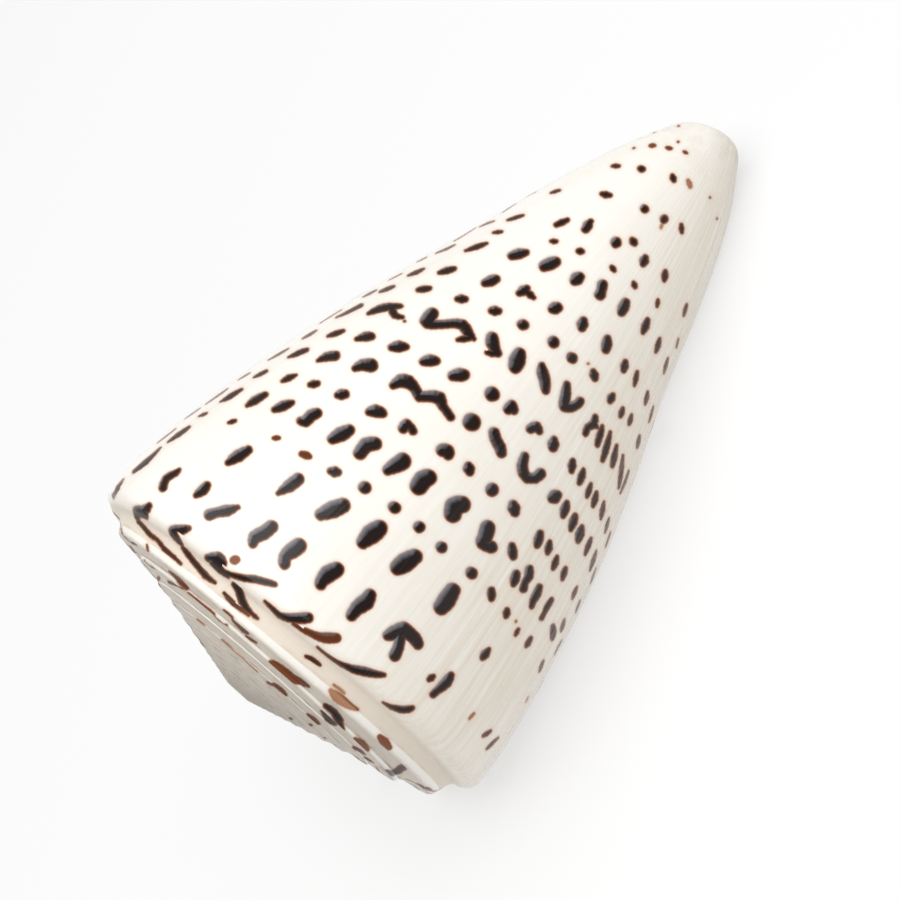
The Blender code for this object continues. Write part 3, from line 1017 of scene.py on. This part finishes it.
def smoothStroke(points):
    # The same stroke with a point between each two, on a smooth curve through all of them;
    # a straight one becomes an oval
    if len(points) == 1:
        return points
    if len(points) == 2:
        x, y, half = [0.5 * (start + end) for start, end in zip(*points)]
        ends = [(point[0], point[1], markRule["oval ends"] * point[2]) for point in points]
        return [ends[0], (x, y, markRule["oval middle"] * half), ends[1]]
    smoothed = []
    for index in range(len(points) - 1):
        before = points[max(index - 1, 0)]
        start = points[index]
        end = points[index + 1]
        after = points[min(index + 2, len(points) - 1)]
        around = zip(before, start, end, after)
        smoothed.append(start)
        between = [(9.0 * (start + end) - first - last) / 16.0 for first, start, end, last in around]
        smoothed.append(tuple(between))
    return smoothed + [points[-1]]


def facesCamera(surface, place):
    origin = Vector(view["location"])
    found = surface.solidTree.ray_cast(origin, (place - origin).normalized())[0]
    return found is not None and (found - place).length < markRule["seen within"]


def readStrokes(surface):
    # Every stroke of the photograph as places on the shell, half widths in millimetres and a tone
    pixelSize = markRule["reach"] / focalPixels() * 1000.0
    strokes = []
    pages = [(row, marks, None) for row, marks in markRows.items()]
    pages += [("spire", marks, tone) for tone, marks in spireMarks.items()]
    for row, marks, tone in pages:
        for number, mark in enumerate(marks):
            found = []
            for x, y, half in smoothStroke(mark):
                if row == "spire":
                    pixel, middle = Vector((x, y)), Vector(view["spire middle"])
                else:
                    pixel, middle = photoPixel(x, y), photoPixel(view["upright middle"], y)
                hit = surface.cast(pixel, middle)
                if hit is None:
                    print("a stroke misses the shell", row, number)
                    continue
                found.append((hit[0], surface.toFlat(hit[0], hit[1]), hit[2], half * pixelSize))
            if not found:
                continue
            swell = markRule["swell"] if len(mark) > 2 else 1.0
            if row == "shoulder flames":
                swell = markRule["flame swell"]
            strokes.append({
                "row": row,
                "places": [item[0] for item in found],
                "flat": [item[1] for item in found],
                "facing": min(item[2] for item in found),
                "halves": [item[3] * swell for item in found],
                "tone": tone if tone else paleMarks.get(row, {}).get(number, 1.0),
                "seen": True,
            })
    return strokes


def ruledStroke(surface, flat, halves, tone):
    places = [surface.toSolid(turn, across) for turn, across in flat]
    return {"places": places, "halves": halves, "tone": tone, "seen": False}


def continueRows(surface, strokes):
    # The side that the photograph hides: each row's well seen strokes again, moved round the shell;
    # the flames follow their own rule
    draw = random.Random(hiddenRule["seed"])
    added = []
    for row in markRows:
        inRow = [stroke for stroke in strokes if stroke["row"] == row]
        seen = [stroke for stroke in inRow
            if min(place[1] for place in stroke["flat"]) > hiddenRule["body from"]]
        if not seen or row == "shoulder flames":
            continue
        block = [stroke for stroke in seen if stroke["facing"] > hiddenRule["well seen"]]
        turns = [place[0] for stroke in seen for place in stroke["flat"]]
        blockTurns = [place[0] for stroke in block for place in stroke["flat"]]
        start, stop = min(blockTurns), max(blockTurns)
        gap = hiddenRule["row gap"] * (stop - start) / len(block)
        level = sum(stroke["flat"][0][1] for stroke in seen) / len(seen)
        here = sum(stroke["flat"][0][1] for stroke in block) / len(block)
        span = stop - start + gap
        shifts = [min(turns) - gap - stop - span * number for number in range(hiddenRule["blocks back"])]
        shifts += [max(turns) + gap - start + span * number for number in range(hiddenRule["blocks on"])]
        for shift in shifts:
            for stroke in block:
                moved = shift + draw.uniform(-hiddenRule["shift"], hiddenRule["shift"]) * gap
                lift = level - here + draw.uniform(-hiddenRule["lift"], hiddenRule["lift"])
                size = draw.uniform(*hiddenRule["size"])
                flat = [(turn + moved, across + lift) for turn, across in stroke["flat"]]
                if min(place[0] for place in flat) < -360.0 + hiddenRule["inner margin"]:
                    continue
                if max(place[0] for place in flat) > -hiddenRule["lip margin"]:
                    continue
                halves = [half * size for half in stroke["halves"]]
                copied = ruledStroke(surface, flat, halves, stroke["tone"])
                if not facesCamera(surface, copied["places"][0]):
                    added.append(copied)
    return added


def continueSpire(surface):
    # Blotches between suture and rim on the spire's hidden half, larger and further apart outwards,
    # and flames over the hidden part of the last whorl's shoulder
    draw = random.Random(hiddenRule["seed"] + 1)
    added = []
    turn = hiddenRule["spire from"]
    while turn > hiddenRule["spire to"]:
        position = (turn + 360.0) % 360.0 - 360.0
        grown = shellSizes["Spire Growth"] ** ((turn + 360.0) / 360.0)
        if position < hiddenRule["spire hidden"][0] or position > hiddenRule["spire hidden"][1]:
            across = draw.uniform(*hiddenRule["blotch across"])
            long = draw.uniform(*hiddenRule["blotch long"])
            flat = [(turn + long * share, across + hiddenRule["blotch slant"] * share)
                for share in (-1.0, 0.0, 1.0)]
            half = draw.uniform(*hiddenRule["blotch half"]) * grown
            halves = [half * share for share in hiddenRule["blotch shape"]]
            added.append(ruledStroke(surface, flat, halves, draw.uniform(*hiddenRule["blotch tone"])))
        if position < hiddenRule["flame hidden"] and turn > -360.0:
            flat = [(turn + ahead, across) for ahead, across in hiddenRule["flame"]]
            half = draw.uniform(*hiddenRule["flame half"])
            halves = [half * share for share in hiddenRule["flame shape"]]
            added.append(ruledStroke(surface, flat, halves, 1.0))
        turn -= draw.uniform(*hiddenRule["spire next"])
    return added


def storeVectors(mesh, name, domain, values):
    attribute = mesh.attributes.new(name, "FLOAT_VECTOR", domain)
    attribute.data.foreach_set("vector", np.asarray(values, np.float32).reshape(-1))


def strokePieces(strokes, centres):
    # The straight pieces of every stroke, and for each face near one: face, gap to it, its number
    centrePlaces = {seen: convert(centres) for seen, convert in spaces.items()}
    pieces = []
    found = []
    for stroke in strokes:
        seen = stroke["seen"]
        places = np.array([tuple(place) for place in stroke["places"]])
        ends = spaces[seen](places)
        for index in range(max(len(places) - 1, 1)):
            following = min(index + 1, len(places) - 1)
            halves = stroke["halves"][index], stroke["halves"][following]
            middle = 0.5 * (places[index] + places[following])
            reach = 0.5 * np.linalg.norm(places[following] - places[index])
            reach += markRule["near"] + markRule["near per half"] * max(halves)
            near = np.flatnonzero(((centres - middle) ** 2).sum(axis=1) < reach ** 2)
            toPlace = centrePlaces[seen][near] - ends[index]
            along = ends[following] - ends[index]
            share = np.clip(toPlace @ along / max(along @ along, tiny), 0.0, 1.0)
            gap = np.linalg.norm(toPlace - share[:, None] * along, axis=1)
            gap -= halves[0] + (halves[1] - halves[0]) * share
            found.append(np.stack((near, gap, np.full(len(near), len(pieces))), axis=1))
            pieces.append((ends[index], ends[following], (*halves, stroke["tone"]), seen))
    return pieces, np.concatenate(found)


def storeMarks(mesh, strokes):
    # Every face keeps its nearest pieces of strokes, and its corners the places to measure from
    centres = readValues(mesh.polygons, "center", np.float32, 3).astype(float)
    pieces, found = strokePieces(strokes, centres)
    found = found[np.lexsort((found[:, 1], found[:, 0]))]
    face = found[:, 0].astype(int)
    piece = found[:, 2].astype(int)
    firsts = np.flatnonzero(np.concatenate(([True], face[1:] != face[:-1])))
    counts = np.diff(np.concatenate((firsts, [len(face)])))
    rank = np.arange(len(face)) - np.repeat(firsts, counts)
    pieceSeen = np.array([item[3] for item in pieces])
    seen = np.zeros(len(centres), bool)
    seen[face[firsts]] = pieceSeen[piece[firsts]]
    empty = {"markStart": markRule["far away"], "markEnd": markRule["far away"], "markWidth": 0.0}
    for number in range(markRule["ranks"]):
        chosen = np.flatnonzero((rank == number) & (pieceSeen[piece] == seen[face]))
        for part, name in enumerate(empty):
            table = np.array([item[part] for item in pieces])
            values = np.full((len(centres), 3), empty[name])
            values[face[chosen]] = table[piece[chosen]]
            storeVectors(mesh, name + str(number), "FACE", values)
    points = cornerPlaces(mesh).astype(float)
    cornerSeen = np.repeat(seen, readValues(mesh.polygons, "loop_total", np.int32))[:, None]
    places = np.where(cornerSeen, sightPlaces(points), plainPlaces(points))
    storeVectors(mesh, "markPlace", "CORNER", places)
    # Which way the marks' pale side faces, where the veil and the painted sheen lie: for the seen marks one
    # way across the view, towards the light, and elsewhere against the growth of the shell
    axisPoint, axis = [np.array(item) for item in coilAxis()]
    offset = points - axisPoint
    back = np.cross(offset - np.outer(offset @ axis, axis), axis)
    back /= np.maximum(np.linalg.norm(back, axis=1), tiny)[:, None]
    storeVectors(mesh, "markPaleAndPaintedSheenLean", "CORNER", np.where(cornerSeen, np.array(markRule["seen pale and painted sheen lean"]), back))
    print("mark pieces", len(pieces), "faces with marks", len(firsts))


def makeShell(material):
    tree, identifiers = shellTree(shellSizes)
    source = bpy.data.objects.new("shellSource", bpy.data.meshes.new("shellSource"))
    bpy.context.scene.collection.objects.link(source)
    modifier = source.modifiers.new("spiral shell", "NODES")
    modifier.node_group = tree
    for name, value in shellSizes.items():
        modifier[identifiers[name]] = value
    modifier[identifiers["Material"]] = material
    evaluated = source.evaluated_get(bpy.context.evaluated_depsgraph_get())
    mesh = bpy.data.meshes.new_from_object(evaluated)
    source.modifiers.remove(modifier)
    bpy.data.objects.remove(source)
    mesh.name = "coneShell"
    mesh.materials.clear()
    mesh.materials.append(material)
    closeLoops(mesh)
    mesh.transform(restMatrix())
    for corner in mesh.vertices:
        corner.co.z = max(corner.co.z, 0.0)
    piece = bpy.data.objects.new("coneShell", mesh)
    bpy.context.scene.collection.objects.link(piece)
    triangles = sum(len(face.vertices) - 2 for face in mesh.polygons)
    print("shell surface", len(mesh.vertices), "points", triangles, "triangles")
    return piece


def markShell(mesh):
    surface = SurfaceMap(mesh)
    strokes = readStrokes(surface)
    print("strokes read", len(strokes))
    strokes += continueRows(surface, strokes)
    strokes += continueSpire(surface)
    print("strokes with the hidden side", len(strokes))
    storeMarks(mesh, strokes)


class ShellColours:
    # What the finish reads: places, values stored on the shell and noises

    def __init__(self, nodes):
        self.nodes = nodes
        self.object = nodes.make("ShaderNodeTexCoord", {}, {}, "Object")
        self.turn = self.stored("turn", "Fac")
        self.across = self.stored("across", "Fac")
        self.sheet = self.stored("sheet", "Fac")

    def stored(self, name, output):
        return self.nodes.make("ShaderNodeAttribute", {"attribute_name": name}, {}, output)

    def split(self, vector):
        node = self.nodes.add("ShaderNodeSeparateXYZ", {}, {0: vector})
        return [self.nodes.out(node, number) for number in range(3)]

    def grown(self, name):
        # A noise drawn out along the shell's growth
        turnShare, acrossShare, offset, scale, detail, roughness = shellNoises[name]
        place = self.nodes.place(self.turn * turnShare, self.across * acrossShare, offset)
        return self.nodes.noise(place, scale, detail, roughness)


def strokeGap(look, place, number):
    # Millimetres from the edge of a face's piece of that number, its tone and its half width there
    nodes = look.nodes
    start = look.stored("markStart" + str(number), "Vector")
    end = look.stored("markEnd" + str(number), "Vector")
    firstHalf, lastHalf, tone = look.split(look.stored("markWidth" + str(number), "Vector"))
    along = nodes.vector("SUBTRACT", end, start)
    toPlace = nodes.vector("SUBTRACT", place, start)
    reached = nodes.measure("DOT_PRODUCT", toPlace, along)
    length = nodes.math("MAXIMUM", nodes.measure("DOT_PRODUCT", along, along), tiny)
    share = nodes.clamp(reached / length)
    nearest = nodes.make("ShaderNodeVectorMath", {"operation": "SCALE"}, {0: along, 3: share})
    gap = nodes.measure("LENGTH", nodes.vector("SUBTRACT", toPlace, nearest))
    half = nodes.mix(firstHalf, lastHalf, share)
    return gap - half, tone, half


def markGap(look, place):
    # The same for the nearest of a face's pieces, with the gap rounded where two meet
    nodes = look.nodes
    gap, tone, half = strokeGap(look, place, 0)
    for number in range(1, markRule["ranks"]):
        nextGap, nextTone, nextHalf = strokeGap(look, place, number)
        nearer = nextGap < gap
        tone = nodes.mix(tone, nextTone, nearer)
        half = nodes.mix(half, nextHalf, nearer)
        gap = nodes.math("SMOOTH_MIN", gap, nextGap, markLook["joining"])
    return gap, tone, half


# Colours, shares and strengths of the finish. A pair of numbers is either the ends between which
# something sets in (places across the wall, degrees of turn or values of a noise) or the two
# values that something is mixed from.
shellLook = {
    "white": (0.88, 0.855, 0.80, 1.0),
    "cream": (0.74, 0.65, 0.53, 1.0),
    "ramp": (0.68, 0.58, 0.47, 1.0),
    "ramp pale": (0.82, 0.755, 0.66, 1.0),
    "inside": (0.88, 0.84, 0.80, 1.0),
    "suture": (0.16, 0.075, 0.035, 1.0),
    "ramp across": (0.95, 0.65),
    "lip turns": (-100.0, -30.0),
    "plain turns": (-330.0, -210.0),
    "line shade": (0.3, 1.6),
    "cloud noise": (60.0, 3.0),
    "cloud shade": 0.4,
    # towards the lip the extra cream is partly the shell's own colour and partly painted shade
    "cream and painted shade share": (0.10, 0.54),
    "tip across": (1.86, 1.96),
    "tip arcs": (0.45, 0.70),
    "tip share": 0.45,
    "streak shade": (1.8, 0.5),
    "ramp shade": (0.35, 0.65),
    "ramp share": (1.0, 0.65),
    "suture across": (0.13, 0.01),
    "suture parts": (0.44, 0.64),
    "suture share": (0.6, 0.2),
    "line relief": (0.04, 0.2),
    "fine relief": 0.012,
    "cloud relief": 0.03,
    "streak relief": 0.4,
    "wrinkle relief": 0.6,
    "ramp relief": (1.0, 0.2),
    "relief": 0.001,
    "roughness": (0.16, 0.42),
    "coat": (0.08, 0.0),
}

# How far turn and across draw a noise out, its offset, then its scale, detail and roughness
shellNoises = {
    "lines": (0.16, 1.3, 0.0, 4.0, 3.0, 0.5),
    "fine lines": (1.1, 1.6, 3.0, 3.0, 3.0, 0.5),
    "tip arcs": (0.008, 6.0, 9.0, 5.0, 3.0, 0.5),
    "ramp streaks": (0.02, 9.0, 0.0, 4.0, 5.0, 0.6),
    "broken suture": (0.04, 1.4, 7.0, 2.0, 5.0, 0.65),
    "wrinkles": (0.10, 0.7, 5.0, 2.5, 5.0, 0.6),
}

# The marks' colours. A name with gap has the ends between which a colour sets in, in millimetres
# from the mark's edge, with minus inside it; one with tone or half has them for tone and half width.
markLook = {
    "core": (0.012, 0.006, 0.0045, 1.0),
    "brown": (0.19, 0.048, 0.011, 1.0),
    "rust": (0.36, 0.13, 0.035, 1.0),
    "glow": (0.72, 0.40, 0.22, 1.0),
    # blue-grey of the marks' pale side: partly the translucent layer over the pigment, partly painted sheen
    # of the light's reflection
    "veil and painted sheen": (0.30, 0.32, 0.36, 1.0),
    "ragged scale": 700.0,
    "ragged": 0.22,
    "joining": 0.12,
    "clear": 10.0,              # added to the gap on the shell's inside, so that it stays unmarked
    "core gap": (0.09, -0.27),
    "core tone": (0.45, 0.75),
    "edge gap": (0.29, -0.03),
    "edge share": (0.6, 1.4),   # for tone 0 and for tone 1
    "brown tone": (0.3, 0.55),
    "ramp core": (0.47, 0.57),
    "ramp core share": 0.8,
    "glow gap": (0.75, 0.10),
    "glow share": 0.25,
    "pale and painted sheen shift": 0.45,
    "pale and painted sheen half": (0.3, 0.6),
    "pale and painted sheen tone": (0.5, 0.7),
    "outer pale and painted sheen gap": (0.6, 0.05),
    "outer pale and painted sheen share": 0.4,
    "inner pale and painted sheen gap": (-0.9, 0.0),
    "inner pale and painted sheen share": 0.5,
}


def shellMaterial():
    material = bpy.data.materials.new("glossyShell")
    material.use_nodes = True
    material.node_tree.nodes.clear()
    nodes = Nodes(material.node_tree)
    look = ShellColours(nodes)
    across = look.across
    onRamp = nodes.rise(across, shellLook["ramp across"])
    outside = look.sheet < 0.5
    nearLip = nodes.rise(look.turn, shellLook["lip turns"])
    plainRamp = nodes.rise(look.turn, shellLook["plain turns"])

    def between(name, share):
        first, second = shellLook[name]
        return nodes.mix(first, second, share)

    # Growth lines follow the lip, so they run across the wall at one turn
    lines = look.grown("lines") - 0.5
    cloud = nodes.noise(look.object, *shellLook["cloud noise"]) - 0.5
    streaks = look.grown("ramp streaks")

    # The body's porcelain, creamier towards the tip, and towards the lip partly by its own cream and partly
    # by painted shade on the side that faces away from the light; and the beige ramps of the spire
    shade = lines * between("line shade", nearLip) + cloud * shellLook["cloud shade"]
    shade = nodes.clamp(shade + between("cream and painted shade share", nearLip))
    body = nodes.blend(shellLook["white"], shellLook["cream"], shade)
    tipShare = nodes.rise(across, shellLook["tip across"]) * shellLook["tip share"]
    tipShare = tipShare * nodes.slope(look.grown("tip arcs"), shellLook["tip arcs"])
    body = nodes.blend(body, shellLook["cream"], tipShare)
    rampShade = (streaks - 0.5) * between("streak shade", plainRamp)
    rampShade = nodes.clamp(rampShade + between("ramp shade", plainRamp)) * between("ramp share", plainRamp)
    ramp = nodes.blend(shellLook["ramp pale"], shellLook["ramp"], rampShade)
    base = nodes.blend(body, ramp, onRamp)
    suture = nodes.rise(across, shellLook["suture across"])
    suture = suture * nodes.slope(look.grown("broken suture"), shellLook["suture parts"])
    base = nodes.blend(base, shellLook["suture"], suture * onRamp * between("suture share", plainRamp))
    base = nodes.blend(shellLook["inside"], base, outside)

    # Where the marks are, with ragged edges, and how far ahead of their pale side a place is; the pale side
    # is partly a veil over the pigment and partly painted sheen
    noise = nodes.make("ShaderNodeTexNoise", {},
        {"Vector": look.object, "Scale": markLook["ragged scale"]}, 1)
    swell = nodes.vector("SUBTRACT", noise, (0.5, 0.5, 0.5))
    place = look.stored("markPlace", "Vector")
    lean = look.stored("markPaleAndPaintedSheenLean", "Vector")
    place = nodes.vector("MULTIPLY_ADD", swell, (markLook["ragged"],) * 3, place)
    ahead = nodes.vector("MULTIPLY_ADD", lean, (-markLook["pale and painted sheen shift"],) * 3, place)
    gap, tone, half = markGap(look, place)
    gap = gap + (1.0 - outside) * markLook["clear"]
    # painted sheen and veil: the larger marks grow pale and blue-grey on the side towards the light
    paleAndPaintedSheenSide = nodes.rise(gap - markGap(look, ahead)[0], (0.0, markLook["pale and painted sheen shift"]))
    paleAndPaintedSheenSide = paleAndPaintedSheenSide * nodes.rise(half, markLook["pale and painted sheen half"])
    paleAndPaintedSheenSide = paleAndPaintedSheenSide * nodes.rise(tone, markLook["pale and painted sheen tone"]) * (1.0 - onRamp)

    # Marks: a faint glow round them, a brown or rusty edge, a near-black core and a blue-grey side that is
    # partly a veil over the pigment and partly painted sheen of the light's reflection
    edge = nodes.rise(gap, markLook["edge gap"])
    core = nodes.rise(gap, markLook["core gap"]) * nodes.rise(tone, markLook["core tone"])
    rampCore = onRamp * edge * nodes.rise(streaks, markLook["ramp core"]) * markLook["ramp core share"]
    core = nodes.math("MAXIMUM", core, rampCore)
    glow = nodes.rise(gap, markLook["glow gap"]) * markLook["glow share"]
    base = nodes.blend(base, markLook["glow"], glow)
    outerPaleAndPaintedSheen = paleAndPaintedSheenSide * nodes.rise(gap, markLook["outer pale and painted sheen gap"]) * markLook["outer pale and painted sheen share"]
    base = nodes.blend(base, markLook["veil and painted sheen"], outerPaleAndPaintedSheen)
    warm = nodes.blend(markLook["rust"], markLook["brown"], nodes.rise(tone, markLook["brown tone"]))
    base = nodes.blend(base, warm, edge * nodes.clamp(nodes.mix(*markLook["edge share"], tone)))
    base = nodes.blend(base, markLook["core"], core)
    innerPaleAndPaintedSheen = paleAndPaintedSheenSide * edge * nodes.rise(gap, markLook["inner pale and painted sheen gap"]) * markLook["inner pale and painted sheen share"]
    base = nodes.blend(base, markLook["veil and painted sheen"], innerPaleAndPaintedSheen)

    # Relief finer than the mesh, and the finish
    bodyRelief = lines * between("line relief", nearLip) + cloud * shellLook["cloud relief"]
    bodyRelief = bodyRelief + (look.grown("fine lines") - 0.5) * shellLook["fine relief"]
    rampRelief = (streaks - 0.5) * shellLook["streak relief"]
    rampRelief = rampRelief + (look.grown("wrinkles") - 0.5) * shellLook["wrinkle relief"]
    rampRelief = rampRelief * between("ramp relief", plainRamp)
    bump = nodes.make("ShaderNodeBump", {}, {
        "Strength": 1.0,
        "Distance": shellLook["relief"],
        "Height": nodes.mix(bodyRelief, rampRelief, onRamp),
    })
    surface = nodes.add("ShaderNodeBsdfPrincipled", {}, {
        "Base Color": base,
        "Roughness": between("roughness", onRamp),
        "Normal": bump,
        "IOR": 1.4,
        "Specular IOR Level": 0.35,
        "Coat Weight": between("coat", onRamp),
        "Coat Roughness": 0.06,
    })
    nodes.add("ShaderNodeOutputMaterial", {}, {"Surface": nodes.out(surface)})
    return material


def addCamera():
    right, up, back = viewAxes()
    camera = bpy.data.cameras.new("camera")
    camera.lens = view["lens"]
    camera.sensor_width = view["sensor"]
    camera.clip_start = view["nearest"]
    cameraObject = bpy.data.objects.new("camera", camera)
    turned = Matrix((right, up, back)).transposed().to_4x4()
    cameraObject.matrix_world = Matrix.Translation(view["location"]) @ turned
    bpy.context.scene.collection.objects.link(cameraObject)
    bpy.context.scene.camera = cameraObject


studio = {
    "floor": (0.30, 0.30, 0.30, 1.0),
    "floor glow": 0.61,
    "floor roughness": 0.9,
    "floor shine": 0.1,
    "floor reach": 3.0,
    "room": 0.40,
    "key from": (0.07, -0.20, 0.84),
    "key size": 1.1,
    "key power": 10.0,
    "aim": (0.0, 0.0, 0.02),
}


def addFloor():
    material = bpy.data.materials.new("paleFloor")
    material.use_nodes = True
    surface = material.node_tree.nodes["Principled BSDF"]
    surface.inputs["Base Color"].default_value = studio["floor"]
    surface.inputs["Roughness"].default_value = studio["floor roughness"]
    surface.inputs["Specular IOR Level"].default_value = studio["floor shine"]
    surface.inputs["Emission Color"].default_value = (1.0, 1.0, 1.0, 1.0)
    surface.inputs["Emission Strength"].default_value = studio["floor glow"]
    mesh = bpy.data.meshes.new("floor")
    reach = studio["floor reach"]
    corners = [(-reach, -reach, 0.0), (reach, -reach, 0.0), (reach, reach, 0.0), (-reach, reach, 0.0)]
    mesh.from_pydata(corners, [], [(0, 1, 2, 3)])
    mesh.materials.append(material)
    floor = bpy.data.objects.new("floor", mesh)
    bpy.context.scene.collection.objects.link(floor)


def addSoftbox(name, location, width, power):
    light = bpy.data.lights.new(name, "AREA")
    light.shape = "SQUARE"
    light.size = width
    light.energy = power
    lamp = bpy.data.objects.new(name, light)
    lamp.location = location
    aim = Vector(studio["aim"]) - Vector(location)
    lamp.rotation_euler = aim.to_track_quat("-Z", "Y").to_euler()
    bpy.context.scene.collection.objects.link(lamp)


def lightRoom():
    addSoftbox("key", studio["key from"], studio["key size"], studio["key power"])
    world = bpy.data.worlds.new("room")
    world.use_nodes = True
    background = world.node_tree.nodes["Background"]
    background.inputs["Color"].default_value = (1.0, 1.0, 1.0, 1.0)
    background.inputs["Strength"].default_value = studio["room"]
    bpy.context.scene.world = world
    bpy.context.scene.view_settings.view_transform = "Standard"


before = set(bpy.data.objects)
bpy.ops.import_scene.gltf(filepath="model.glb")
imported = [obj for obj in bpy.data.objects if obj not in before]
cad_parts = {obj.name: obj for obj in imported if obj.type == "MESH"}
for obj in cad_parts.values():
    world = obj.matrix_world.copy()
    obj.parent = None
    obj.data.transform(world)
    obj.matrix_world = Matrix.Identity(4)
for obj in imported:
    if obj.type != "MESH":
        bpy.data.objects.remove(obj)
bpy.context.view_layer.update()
shell = makeShell(shellMaterial())
markShell(shell.data)
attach(shell, "root")
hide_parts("shell")
addCamera()
addFloor()
lightRoom()
